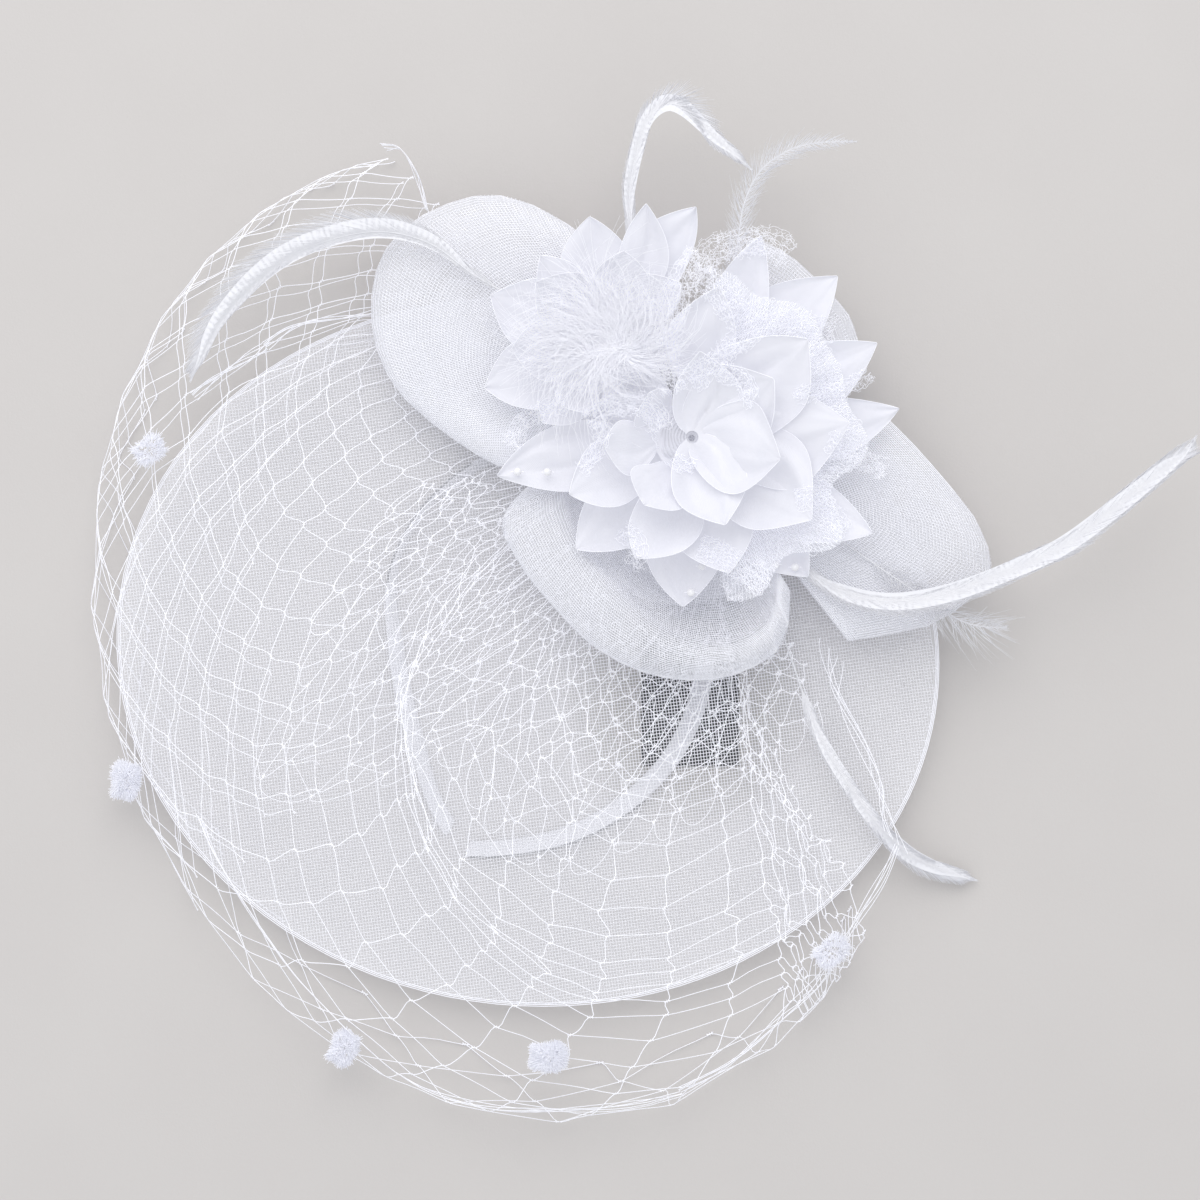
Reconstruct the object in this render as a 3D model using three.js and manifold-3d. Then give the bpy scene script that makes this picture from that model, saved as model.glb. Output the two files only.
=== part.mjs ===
// A white fascinator lying on a table: an oval crinoline disc on a ribbon headband and a clip,
// four crinoline loops, a diamond net veil with chenille dots, two cloth flowers, feathers and pearls.
// Millimetres, +Z up. The origin is the middle of the clip's underside, on the table.
import * as THREE from 'three';
import Module from 'manifold-3d';
import { mergeVertices } from 'three/addons/utils/BufferGeometryUtils.js';

const wasm = await Module();
wasm.setup();

// Driving dimensions
const GAP = 0.3; // clearance between pieces that are sewn, glued or clamped together
const CLOTH = 1.2; // wall of every cloth and crinoline piece
const CLIP = { width: 35, length: 77, bridge: 37, sheet: 1, opening: 3.6 };
const BASE = { x: -3.6, y: 57.2, radius: 38, thickness: 2.6 };
const BAND = { x: -51, y: 3.2, reach: 77, width: 7, thickness: 1.6 };
const DISC = { x: -58.3, y: 2.5, long: 148, short: 127, turn: -7, hem: 2.4, ease: 2, sag: 0.8, wave: 0.35 };
const DIP = { angle: 45, spread: 62 }; // where the disc's rim comes down to the table
const FRONT = { x: 0, y: 78.5, radius: 9 };
const BACK = { x: -27, y: 109.5, radius: 8 };
const LOOP = { clear: 1.4, height: 14.7 };
const CUP = { reach: 86.5, height: 22 };
const LOOP_REACH = { upperLeft: 128, right: 117, top: 75 };
const VEIL = { x: -64.8, y: 8.6, long: 177, short: 145, turn: 110, inner: 20 };
const NET = { clear: 6, puff: 17, strand: 2.2 };
const FEATHER_RISE = 0.07; // height gained for each millimetre away from the flower
const HUB = { width: 4, sink: 1.5, first: 2.8, frill: 5.3, second: 8.1, third: 12.1, cap: 3 };
const BACK_HUB = { first: 4.6, second: 8.1, cap: 3 };
const FRONT_PETALS = {
  lower: { length: 65, wide: 15 },
  middle: { length: 46, wide: 16 },
  upper: { length: 30, wide: 13 },
};
const BACK_PETALS = { lower: { length: 47, wide: 13 }, upper: { length: 28, wide: 11 } };
const CUPPING = 0.17; // how far a petal's edges stand up, as a share of its half width
const FRILL = { reach: 66, lift: 15, wave: 2, from: -78, to: 85, folds: 8 };
const FLUFF = { radius: 18, flare: 6, height: 16, lock: 34, root: 5 };
const DOT = { length: 18, width: 14, height: 8 };
const PEARL = 1.5;

// Heights of the stack, from the table up
const clipTop = 2 * CLIP.sheet + CLIP.opening;
const baseBottom = clipTop + GAP;
const baseTop = baseBottom + BASE.thickness;
const discLevel = baseTop + GAP + CLOTH / 2;
const coreBottom = discLevel + CLOTH / 2 + GAP;
const veilLevel = discLevel + CLOTH + GAP;
const loopFloor = veilLevel + CLOTH + LOOP.clear;
const loopTop = loopFloor + LOOP.height;
const featherLevel = loopTop + CLOTH + 1.5 * GAP;
const hubLevel = (above) => loopTop + CLOTH / 2 + above;

// Angles in degrees, directions on the table, and smooth or straight curves through a table's columns
const radians = THREE.MathUtils.degToRad;
const mix = THREE.MathUtils.lerp;
const point = (x, y, z) => new THREE.Vector3(x, y, z);
const UP = point(0, 0, 1);

function polar(centre, angle, radius, z) {
  const turn = radians(angle);
  return point(centre.x + radius * Math.cos(turn), centre.y + radius * Math.sin(turn), z);
}

function curve(table, from, to, Kind = THREE.CubicInterpolant) {
  const rows = [...table].sort((a, b) => a[from] - b[from]);
  const interpolant = new Kind(rows.map((row) => row[from]), rows.map((row) => row[to]), 1);
  return (at) => interpolant.evaluate(at)[0];
}

function steps(count, from = 0, to = 1) {
  return Array.from({ length: count + 1 }, (_, i) => mix(from, to, i / count));
}

// Distance from a point to an ellipse's outline along a direction
function toRim(from, angle, ellipse) {
  const turn = radians(ellipse.turn);
  const axes = new THREE.Vector2(ellipse.long, ellipse.short);
  const start = new THREE.Vector2(from.x - ellipse.x, from.y - ellipse.y);
  start.rotateAround(new THREE.Vector2(), -turn).divide(axes);
  const aim = radians(angle) - turn;
  const way = new THREE.Vector2(Math.cos(aim), Math.sin(aim)).divide(axes);
  const [a, b, c] = [way.lengthSq(), start.dot(way), start.lengthSq() - 1];
  return (-b + Math.sqrt(b * b - a * c)) / a;
}

// Closed solids: vertices merged on position, empty triangles dropped, faces turned outwards
function closed(geometry) {
  geometry.deleteAttribute('normal');
  geometry.deleteAttribute('uv');
  const merged = mergeVertices(geometry, 1e-4);
  const place = merged.getAttribute('position');
  const at = (i) => new THREE.Vector3().fromBufferAttribute(place, i);
  const triangles = [];
  let volume = 0;
  for (let i = 0; i < merged.index.count; i += 3) {
    const [a, b, c] = [0, 1, 2].map((k) => merged.index.getX(i + k));
    if (a !== b && b !== c && c !== a) {
      triangles.push([a, b, c]);
      volume += at(a).dot(at(b).cross(at(c)));
    }
  }
  merged.setIndex((volume < 0 ? triangles.map(([a, b, c]) => [a, c, b]) : triangles).flat());
  return merged;
}

function fromTriangles(corners) {
  const geometry = new THREE.BufferGeometry().setFromPoints(corners.flat());
  geometry.setIndex([...Array(geometry.getAttribute('position').count).keys()]);
  return closed(geometry);
}

const quad = (a, b, c, d) => [[a, b, c], [a, c, d]];

// A thin closed solid on both sides of a grid of points; a round one joins its last row to its first
function sheet(rows, thickness = () => CLOTH, round = false) {
  const last = rows.length - 1;
  const near = (i) => (round ? (i + rows.length) % rows.length : THREE.MathUtils.clamp(i, 0, last));
  const sides = rows.map((points, i) =>
    points.map((middle, j) => {
      const along = rows[near(i + 1)][j].clone().sub(rows[near(i - 1)][j]);
      const across = points[Math.min(j + 1, points.length - 1)].clone().sub(points[Math.max(j - 1, 0)]);
      const normal = along.cross(across);
      const out = normal.length() > 1e-9 ? normal.normalize() : UP.clone();
      const half = out.multiplyScalar(thickness(i, j) / 2);
      return { top: middle.clone().add(half), under: middle.clone().sub(half) };
    }),
  );
  if (round) sides.push(sides[0]);
  const triangles = [];
  const width = sides[0].length - 1;
  for (let i = 0; i < sides.length - 1; i += 1) {
    const [here, next] = [sides[i], sides[i + 1]];
    for (let j = 0; j < width; j += 1) {
      triangles.push(...quad(here[j].top, next[j].top, next[j + 1].top, here[j + 1].top));
      triangles.push(...quad(here[j + 1].under, next[j + 1].under, next[j].under, here[j].under));
    }
    triangles.push(...quad(here[width].top, next[width].top, next[width].under, here[width].under));
    if (!round) triangles.push(...quad(next[0].top, here[0].top, here[0].under, next[0].under));
  }
  if (!round) {
    for (let j = 0; j < width; j += 1) {
      const [first, end] = [sides[0], sides[last]];
      triangles.push(...quad(first[j].top, first[j + 1].top, first[j + 1].under, first[j].under));
      triangles.push(...quad(end[j + 1].top, end[j].top, end[j].under, end[j + 1].under));
    }
  }
  return fromTriangles(triangles);
}

// One solid from several that overlap
function union(geometries) {
  const solids = geometries.map((geometry) => {
    const ready = closed(geometry);
    const vertProperties = ready.getAttribute('position').array;
    const triVerts = Uint32Array.from(ready.index.array);
    return new wasm.Manifold(new wasm.Mesh({ numProp: 3, vertProperties, triVerts }));
  });
  const { vertProperties, triVerts } = solids.reduce((whole, solid) => whole.add(solid)).getMesh();
  const geometry = new THREE.BufferGeometry();
  geometry.setAttribute('position', new THREE.BufferAttribute(vertProperties, 3));
  geometry.setIndex(new THREE.BufferAttribute(triVerts, 1));
  return geometry;
}

function upright(radius, height, centre, bottom, sides = 12) {
  const geometry = new THREE.CylinderGeometry(radius, radius, height, sides).rotateX(Math.PI / 2);
  return geometry.translate(centre.x, centre.y, bottom + height / 2);
}

// Materials, by what the piece is made of
function material(color, roughness, metalness = 0) {
  return new THREE.MeshStandardMaterial({ color, roughness, metalness });
}
const LACQUER = material(0x17171a, 0.4, 0.3);
const FELT = material(0xeeeeee, 0.95);
const RIBBON = material(0xf2f2f5, 0.5);
const CRIN = material(0xeef0f6, 0.6);
const MESH = material(0xf5f6fa, 0.6);
const SATIN = material(0xf7f7fb, 0.55);
const TULLE = material(0xf4f5fa, 0.8);
const CHENILLE = material(0xf6f7fb, 0.95);
const DOWN = material(0xf8f8fb, 0.9);
const NACRE = material(0xf3f1ee, 0.25);

const fascinator = new THREE.Group();

function piece(name, geometry, finish) {
  const mesh = new THREE.Mesh(closed(geometry), finish);
  mesh.name = name;
  fascinator.add(mesh);
}

// Clip: one bent sheet, a long lower leaf and a short upper leaf joined along the right edge
function clipGeometry() {
  const half = CLIP.width / 2;
  const bend = half - CLIP.sheet;
  const profile = new THREE.Shape([
    new THREE.Vector2(-half, 0),
    new THREE.Vector2(half, 0),
    new THREE.Vector2(half, clipTop),
    new THREE.Vector2(-half, clipTop),
    new THREE.Vector2(-half, clipTop - CLIP.sheet),
    new THREE.Vector2(bend, clipTop - CLIP.sheet),
    new THREE.Vector2(bend, CLIP.sheet),
    new THREE.Vector2(-half, CLIP.sheet),
  ]);
  const bridge = new THREE.ExtrudeGeometry(profile, { depth: CLIP.bridge, bevelEnabled: false, steps: 1 });
  bridge.rotateX(Math.PI / 2).translate(0, CLIP.length / 2, 0);
  const leaf = new THREE.BoxGeometry(CLIP.width, CLIP.length, CLIP.sheet).translate(0, 0, CLIP.sheet / 2);
  return union([bridge, leaf]);
}

// Headband: a ribbon-covered strip bent into a hoop that is open at the front; lean is from upright
const BAND_STATIONS = [
  { angle: -112, reach: 1, lean: 58, lifted: 0 },
  { angle: -103.6, reach: 0.952, lean: 58, lifted: 0 },
  { angle: -76.5, reach: 0.842, lean: 62, lifted: 0 },
  { angle: -56, reach: 0.785, lean: 76, lifted: 0.6 },
  { angle: -44, reach: 0.765, lean: 87, lifted: 1 },
  { angle: -14.7, reach: 0.735, lean: 88, lifted: 1 },
  { angle: 18.2, reach: 0.748, lean: 88, lifted: 1 },
  { angle: 38, reach: 0.808, lean: 88, lifted: 1 },
  { angle: 59.5, reach: 0.895, lean: 76, lifted: 0.3 },
  { angle: 80, reach: 0.922, lean: 58, lifted: 0 },
  { angle: 95.1, reach: 0.939, lean: 38, lifted: 0 },
  { angle: 124.4, reach: 0.895, lean: 12, lifted: 0 },
  { angle: 147.7, reach: 0.83, lean: 15, lifted: 0 },
  { angle: 180, reach: 0.71, lean: 50, lifted: 0 },
  { angle: 217.6, reach: 0.766, lean: 55, lifted: 0 },
  { angle: 241.2, reach: 0.951, lean: 62, lifted: 0 },
];

function bandGeometry() {
  const reach = curve(BAND_STATIONS, 'angle', 'reach');
  const lean = curve(BAND_STATIONS, 'angle', 'lean', THREE.LinearInterpolant);
  const lifted = curve(BAND_STATIONS, 'angle', 'lifted', THREE.LinearInterpolant);
  const [first, last] = [BAND_STATIONS[0].angle, BAND_STATIONS.at(-1).angle];
  const rows = steps(44, first, last).map((angle) => {
    const tilt = radians(lean(angle));
    const rise = (BAND.width * Math.cos(tilt) + BAND.thickness * Math.sin(tilt)) / 2;
    const centre = polar(BAND, angle, BAND.reach * reach(angle), rise + (CLIP.sheet + GAP) * lifted(angle));
    const edge = polar(point(0, 0, 0), angle, Math.sin(tilt), Math.cos(tilt));
    edge.multiplyScalar(BAND.width / 2);
    return [centre.clone().sub(edge), centre.clone().add(edge)];
  });
  return sheet(rows, () => BAND.thickness);
}

// Crinoline disc: flat over the base, a thick hem at the rim, down to the table at the upper right
const DISC_RINGS = [0, 0.12, 0.4, 0.7, 0.96, 1];

function discHeight(angle, share) {
  const away = THREE.MathUtils.euclideanModulo(angle - DIP.angle + 180, 360) - 180;
  const down = Math.cos(radians(90) * Math.min(Math.abs(away) / DIP.spread, 1)) ** 2;
  const rim = mix(discLevel - DISC.sag + DISC.wave * Math.sin(radians(7 * angle)), DISC.hem / 2, down);
  return mix(discLevel, rim, THREE.MathUtils.smoothstep(share, 0, 0.96));
}

function discGeometry() {
  const flat = BASE.radius + DISC.ease;
  const rows = steps(40, 360, 0).slice(0, -1).map((angle) => {
    const rim = toRim(BASE, angle, DISC);
    const ring = (share) => polar(BASE, angle, mix(flat, rim, share), discHeight(angle, share));
    return [point(BASE.x, BASE.y, discLevel), ...DISC_RINGS.map(ring)];
  });
  return sheet(rows, (_, j) => (j >= DISC_RINGS.length - 1 ? DISC.hem : CLOTH), true);
}

// Crinoline loops: a band folded back over itself; out and up are shares of the loop's reach and height
const LOOP_PROFILE = [
  { out: 0, up: 0 },
  { out: 0.45, up: 0 },
  { out: 0.83, up: 0.06 },
  { out: 0.97, up: 0.27 },
  { out: 1, up: 0.5 },
  { out: 0.97, up: 0.74 },
  { out: 0.83, up: 0.97 },
  { out: 0.56, up: 1 },
  { out: 0.24, up: 1 },
  { out: 0, up: 0.9 },
];
const UPPER_LEFT = [
  { angle: 116, share: 0.6 },
  { angle: 128, share: 0.86 },
  { angle: 137, share: 0.95 },
  { angle: 148, share: 1 },
  { angle: 158, share: 0.96 },
  { angle: 169, share: 0.85 },
  { angle: 180, share: 0.66 },
  { angle: 188, share: 0.54 },
];
const RIGHT = [
  { angle: -52, share: 0.78 },
  { angle: -45, share: 0.84 },
  { angle: -38, share: 0.92 },
  { angle: -31, share: 0.97 },
  { angle: -24, share: 1 },
  { angle: -17, share: 0.92 },
  { angle: -9, share: 0.78 },
  { angle: 2, share: 0.64 },
  { angle: 12, share: 0.55 },
];
const TOP = [
  { angle: 24, share: 0.88 },
  { angle: 37, share: 0.95 },
  { angle: 50, share: 0.96 },
  { angle: 62, share: 0.99 },
  { angle: 74, share: 1 },
];

const loopInner = FRONT.radius + GAP;

function loopGeometry(outline, length, count) {
  const share = curve(outline, 'angle', 'share');
  const rows = steps(count, outline[0].angle, outline.at(-1).angle).map((angle) => {
    const reach = length * share(angle);
    return LOOP_PROFILE.map(({ out, up }) =>
      polar(FRONT, angle, mix(loopInner, reach, out), loopFloor + LOOP.height * up),
    );
  });
  return sheet(rows);
}

// Lower loop: a cup with a rolled rim; outer and crest are shares of its reach, high of its height
const LOWER = [
  { angle: 191, outer: 0.56, crest: 0.49, high: 0.5 },
  { angle: 202, outer: 0.83, crest: 0.57, high: 0.66 },
  { angle: 215, outer: 0.87, crest: 0.62, high: 0.8 },
  { angle: 230, outer: 0.89, crest: 0.66, high: 0.92 },
  { angle: 247, outer: 0.95, crest: 0.72, high: 1 },
  { angle: 265, outer: 0.99, crest: 0.82, high: 1 },
  { angle: 283, outer: 0.98, crest: 0.86, high: 1 },
  { angle: 295, outer: 0.91, crest: 0.79, high: 1 },
  { angle: 303, outer: 0.75, crest: 0.64, high: 0.9 },
];
const CUP_WALL = [
  { out: 0, up: 0 },
  { out: 0.45, up: 0.03 },
  { out: 0.75, up: 0.28 },
  { out: 0.92, up: 0.72 },
  { out: 1, up: 1 },
];
const CUP_ROLL = [
  { out: 0.5, up: 0.98 },
  { out: 0.92, up: 0.68 },
  { out: 1, up: 0.3 },
];
const cupColumn = (column) => curve(LOWER, 'angle', column);
const cupOuter = cupColumn('outer');
const cupCrest = cupColumn('crest');
const cupHigh = cupColumn('high');
const cupHeight = (angle, up) => loopFloor + CUP.height * cupHigh(angle) * up;

function cupGeometry() {
  const rows = steps(16, LOWER[0].angle, LOWER.at(-1).angle).map((angle) => {
    const [crest, outer] = [CUP.reach * cupCrest(angle), CUP.reach * cupOuter(angle)];
    const place = (near, far) => (at) =>
      polar(FRONT, angle, mix(near, far, at.out), cupHeight(angle, at.up));
    return [...CUP_WALL.map(place(loopInner, crest)), ...CUP_ROLL.map(place(crest, outer))];
  });
  return sheet(rows);
}

// Veil: flat between the disc and the loops, then a puff, its border curled under onto the table
const VEIL_COLUMNS = 20;
const VEIL_EDGES = { from: 137, to: 290 };
const VEIL_ROWS = [
  { row: 0, tucked: 0, out: 0, rise: 0, drop: 0 },
  { row: 1, tucked: 0.5, out: 0, rise: 0, drop: 0 },
  { row: 2, tucked: 1, out: 0, rise: 0, drop: 0 },
  { row: 3, tucked: 1, out: 0.15, rise: 0.47, drop: 0 },
  { row: 4, tucked: 1, out: 0.36, rise: 0.82, drop: 0 },
  { row: 5, tucked: 1, out: 0.58, rise: 1, drop: 0 },
  { row: 6, tucked: 1, out: 0.8, rise: 0.88, drop: 0 },
  { row: 7, tucked: 1, out: 0.95, rise: 0.53, drop: 0 },
  { row: 8, tucked: 1, out: 1, rise: 0.09, drop: 0 },
  { row: 9, tucked: 1, out: 0.995, rise: 0, drop: 0.57 },
  { row: 10, tucked: 1, out: 0.87, rise: 0, drop: 1 },
];
const VEIL_FULLNESS = [
  { across: 0, full: 0.35 },
  { across: 0.22, full: 1 },
  { across: 0.8, full: 1 },
  { across: 1, full: 0.35 },
];
const veilColumn = (column) => curve(VEIL_ROWS, 'row', column, THREE.LinearInterpolant);
const [veilTucked, veilOut, veilRise, veilDrop] = ['tucked', 'out', 'rise', 'drop'].map(veilColumn);
const veilFull = curve(VEIL_FULLNESS, 'across', 'full', THREE.LinearInterpolant);
const upperLeftShare = curve(UPPER_LEFT, 'angle', 'share');

function loopsReach(angle) {
  const overCup = angle > (UPPER_LEFT.at(-1).angle + LOWER[0].angle) / 2;
  return overCup ? CUP.reach * cupOuter(angle) : LOOP_REACH.upperLeft * upperLeftShare(angle);
}

function veilPoint(column, row) {
  const across = column / VEIL_COLUMNS;
  const angle = mix(VEIL_EDGES.from, VEIL_EDGES.to, across);
  const flat = Math.max(...steps(6, angle - 9, angle + 9).map(loopsReach)) + NET.clear;
  const outer = toRim(FRONT, angle, VEIL);
  const radius = mix(VEIL.inner, flat, veilTucked(row)) + (outer - flat) * veilOut(row);
  const level = mix(veilLevel, CLOTH / 2, veilDrop(row));
  return polar(FRONT, angle, radius, level + NET.puff * veilFull(across) * veilRise(row));
}

function veilSides(column, row) {
  const step = 0.5;
  const inside = (value, most) => THREE.MathUtils.clamp(value, 0, most);
  const rows = VEIL_ROWS.length - 1;
  const middle = veilPoint(column, row);
  const right = veilPoint(inside(column + step, VEIL_COLUMNS), row);
  const across = right.sub(veilPoint(inside(column - step, VEIL_COLUMNS), row));
  const [next, last] = [row + step, row - step].map((at) => veilPoint(column, inside(at, rows)));
  const along = next.sub(last);
  const half = along.cross(across).setLength(CLOTH / 2);
  return { top: middle.clone().add(half), under: middle.clone().sub(half) };
}

// One gap of the net: a ring of strands round it, corners in lattice steps; border sides get a wall
function netCell(column, row, corners, border) {
  const centre = [0, 1].map((k) => corners.reduce((sum, corner) => sum + corner[k] / corners.length, 0));
  const middle = veilPoint(column + centre[0], row + centre[1]);
  const outer = corners.map(([c, r]) => veilPoint(column + c, row + r));
  const clear = outer.map((corner, k) => {
    const line = new THREE.Line3(corner, outer[(k + 1) % outer.length]);
    return line.closestPointToPoint(middle, true, new THREE.Vector3()).distanceTo(middle);
  });
  const open = 1 - NET.strand / 2 / Math.min(...clear);
  const ring = corners.map(([c, r]) => ({
    out: veilSides(column + c, row + r),
    hole: veilSides(column + mix(centre[0], c, open), row + mix(centre[1], r, open)),
  }));
  return ring.flatMap((here, k) => {
    const next = ring[(k + 1) % ring.length];
    const faces = [
      ...quad(here.out.top, next.out.top, next.hole.top, here.hole.top),
      ...quad(next.out.under, here.out.under, here.hole.under, next.hole.under),
      ...quad(here.hole.top, next.hole.top, next.hole.under, here.hole.under),
    ];
    const wall = quad(next.out.top, here.out.top, here.out.under, next.out.under);
    return k === border ? [...faces, ...wall] : faces;
  });
}

function netGeometry() {
  const rows = VEIL_ROWS.length - 1;
  const [down, right, up, left] = [[0, -1], [1, 0], [0, 1], [-1, 0]];
  const triangles = [];
  for (let column = 0; column <= VEIL_COLUMNS; column += 1) {
    for (let row = 0; row <= rows; row += 1) {
      if ((column + row) % 2 === 1) {
        const inside = [row > 0, column < VEIL_COLUMNS, row < rows, column > 0];
        const edges = [down, right, up, left].map((corner, k) => inside[k] && corner);
        const cut = edges.findIndex((corner) => !corner);
        const corners = edges.filter(Boolean);
        triangles.push(...netCell(column, row, corners, cut < 0 ? cut : (cut + 2) % 3));
      }
    }
  }
  return fromTriangles(triangles);
}

// Chenille dots on strands of the net: from a lattice place, one step on and up or down a row
const DOTS = [
  { column: 5, row: 7, toward: -1, share: 0.8, turn: 30, size: 0.9 },
  { column: 9, row: 7, toward: 1, share: 0.7, turn: 80, size: 1.05 },
  { column: 13, row: 7, toward: 1, share: 0.5, turn: 60, size: 0.95 },
  { column: 15, row: 7, toward: -1, share: 0.7, turn: 0, size: 1 },
  { column: 19, row: 7, toward: -1, share: 0.4, turn: 35, size: 1.05 },
];

function dotGeometry({ column, row, toward, share, turn, size }) {
  const [start, end] = [veilSides(column, row), veilSides(column + 1, row + toward)];
  const top = start.top.lerp(end.top, share);
  const out = top.clone().sub(start.under.lerp(end.under, share)).normalize();
  const geometry = new THREE.SphereGeometry(0.5, 8, 6).rotateX(Math.PI / 2);
  geometry.scale(DOT.length * size, DOT.width * size, DOT.height * size).rotateZ(radians(turn));
  geometry.applyQuaternion(new THREE.Quaternion().setFromUnitVectors(UP, out));
  const seat = top.addScaledVector(out, GAP + (DOT.height * size) / 2);
  return geometry.translate(seat.x, seat.y, seat.z);
}

// Petals: each petal's length and half width are shares of its layer's, and lift is its slope in degrees.
// A layer is one cut of cloth round its core
const PETAL_OUTLINE = [
  { along: 0, wide: 0.22 },
  { along: 0.25, wide: 0.5 },
  { along: 0.6, wide: 1 },
  { along: 0.86, wide: 0.74 },
  { along: 1, wide: 0.08 },
];
const FRONT_LOWER = [
  { angle: 191, long: 0.892, wide: 0.8, lift: 4 },
  { angle: 224, long: 0.692, wide: 0.87, lift: 8 },
  { angle: 267, long: 0.738, wide: 1, lift: 8 },
  { angle: 310, long: 0.8, wide: 0.87, lift: 5 },
  { angle: 332, long: 0.938, wide: 0.8, lift: 11 },
  { angle: 8, long: 0.954, wide: 0.73, lift: 5 },
  { angle: 27, long: 0.954, wide: 0.8, lift: 11 },
  { angle: 48, long: 1, wide: 0.93, lift: 5 },
  { angle: 71, long: 0.985, wide: 0.73, lift: 10 },
];
const FRONT_MIDDLE = [
  { angle: 205, long: 0.826, wide: 0.75, lift: 21 },
  { angle: 245, long: 0.87, wide: 0.81, lift: 29 },
  { angle: 285, long: 0.87, wide: 0.88, lift: 21 },
  { angle: 325, long: 0.957, wide: 1, lift: 29 },
  { angle: 5, long: 1, wide: 0.88, lift: 21 },
  { angle: 40, long: 1, wide: 0.94, lift: 29 },
  { angle: 80, long: 0.957, wide: 0.75, lift: 21 },
];
const FRONT_UPPER = [
  { angle: 185, long: 0.867, wide: 0.77, lift: 42 },
  { angle: 235, long: 0.9, wide: 0.85, lift: 50 },
  { angle: 290, long: 0.933, wide: 0.92, lift: 42 },
  { angle: 345, long: 1, wide: 1, lift: 50 },
  { angle: 35, long: 1, wide: 1, lift: 42 },
  { angle: 85, long: 0.9, wide: 0.85, lift: 50 },
  { angle: 135, long: 0.667, wide: 0.69, lift: 62 },
];
const BACK_LOWER = [
  { angle: 101, long: 0.787, wide: 1, lift: 6 },
  { angle: 78, long: 0.894, wide: 0.69, lift: 11 },
  { angle: 60.6, long: 1, wide: 0.85, lift: 6 },
  { angle: 128.5, long: 0.681, wide: 0.69, lift: 12 },
  { angle: 196, long: 0.787, wide: 1, lift: 6 },
  { angle: 156.5, long: 0.787, wide: 1, lift: 6 },
  { angle: 225, long: 0.553, wide: 0.77, lift: 14 },
];
const BACK_UPPER = [
  { angle: 85, long: 0.929, wide: 0.91, lift: 26 },
  { angle: 140, long: 1, wide: 1, lift: 26 },
  { angle: 180, long: 1, wide: 1, lift: 26 },
  { angle: 45, long: 0.857, wide: 0.82, lift: 26 },
  { angle: 225, long: 0.714, wide: 0.82, lift: 32 },
];

function petalPoint(flower, level, size, petal, along, side, wide) {
  const start = flower.radius + GAP + HUB.width - HUB.sink;
  const [reach, slope] = [size.length * petal.long * along, radians(petal.lift)];
  const half = size.wide * petal.wide * wide;
  const cup = CUPPING * half * side * side * Math.min(1, 3 * along);
  const [out, up] = [start + reach * Math.cos(slope), level + reach * Math.sin(slope) + cup];
  const middle = polar(flower, petal.angle, out, up);
  return middle.add(polar(point(0, 0, 0), petal.angle + 90, half * side, 0));
}

function petalGeometry(flower, level, size, petal) {
  const rows = PETAL_OUTLINE.map(({ along, wide }) =>
    [-1, 0, 1].map((side) => petalPoint(flower, level, size, petal, along, side, wide)),
  );
  return sheet(rows);
}

function hubGeometry(flower, level) {
  const [inner, outer, half] = [flower.radius + GAP, flower.radius + GAP + HUB.width, CLOTH / 2];
  const corners = [[inner, -half], [outer, -half], [outer, half], [inner, half], [inner, -half]];
  const ring = new THREE.LatheGeometry(corners.map(([r, z]) => new THREE.Vector2(r, z)), 12);
  return ring.rotateX(Math.PI / 2).translate(flower.x, flower.y, level);
}

function layerGeometry(flower, hub, size, petals) {
  const level = hubLevel(hub);
  const leaves = petals.map((petal) => petalGeometry(flower, level, size, petal));
  return union([hubGeometry(flower, level), ...leaves]);
}

// Tulle frill: a waved fan between the lower and middle petals of the front flower
function frillGeometry(level) {
  const start = FRONT.radius + GAP + HUB.width - HUB.sink;
  const tilt = radians(FRILL.lift);
  const rows = steps(FRILL.folds * 4, FRILL.from, FRILL.to).map((angle, i) =>
    [0, 0.5, 1].map((share) => {
      const out = share * (FRILL.reach - start);
      const wave = FRILL.wave * share * Math.sin((i * Math.PI) / 2);
      return polar(FRONT, angle, start + out * Math.cos(tilt), level + out * Math.sin(tilt) + wave);
    }),
  );
  return union([hubGeometry(FRONT, level), sheet(rows)]);
}

// Feather fluff: a low dome with pointed locks round it, on the back flower's core
const LOCKS = [
  { angle: 20, long: 0.62, rise: 0.35 },
  { angle: 55, long: 0.8, rise: 0.3 },
  { angle: 85, long: 0.85, rise: 0.25 },
  { angle: 115, long: 0.9, rise: 0.3 },
  { angle: 145, long: 1, rise: 0.22 },
  { angle: 172, long: 1.05, rise: 0.25 },
  { angle: 198, long: 1, rise: 0.3 },
  { angle: 225, long: 0.8, rise: 0.35 },
  { angle: 330, long: 0.55, rise: 0.45 },
];

function lockGeometry({ angle, long, rise }, level) {
  const length = FLUFF.lock * long;
  const cone = new THREE.ConeGeometry(FLUFF.root, length, 6);
  cone.rotateZ(-Math.PI / 2).translate(length / 2, 0, 0).scale(1, 1.3, 0.7);
  cone.rotateY(-Math.atan(rise)).translate(0, 0, level + FLUFF.flare);
  return cone.rotateZ(radians(angle)).translate(BACK.x, BACK.y, 0);
}

function fluffGeometry(level) {
  const arch = steps(3, 0, 60).map((turn) => {
    const up = mix(FLUFF.flare, FLUFF.height, Math.sin(radians(turn)));
    return new THREE.Vector2(FLUFF.radius * Math.cos(radians(turn)), up);
  });
  const ends = [[0, 0], [BACK.radius, 0], [0, FLUFF.height]].map(([r, z]) => new THREE.Vector2(r, z));
  const dome = new THREE.LatheGeometry([ends[0], ends[1], ...arch, ends[2]], 12);
  dome.rotateX(Math.PI / 2).translate(BACK.x, BACK.y, level);
  return union([dome, ...LOCKS.map((lock) => lockGeometry(lock, level))]);
}

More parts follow.
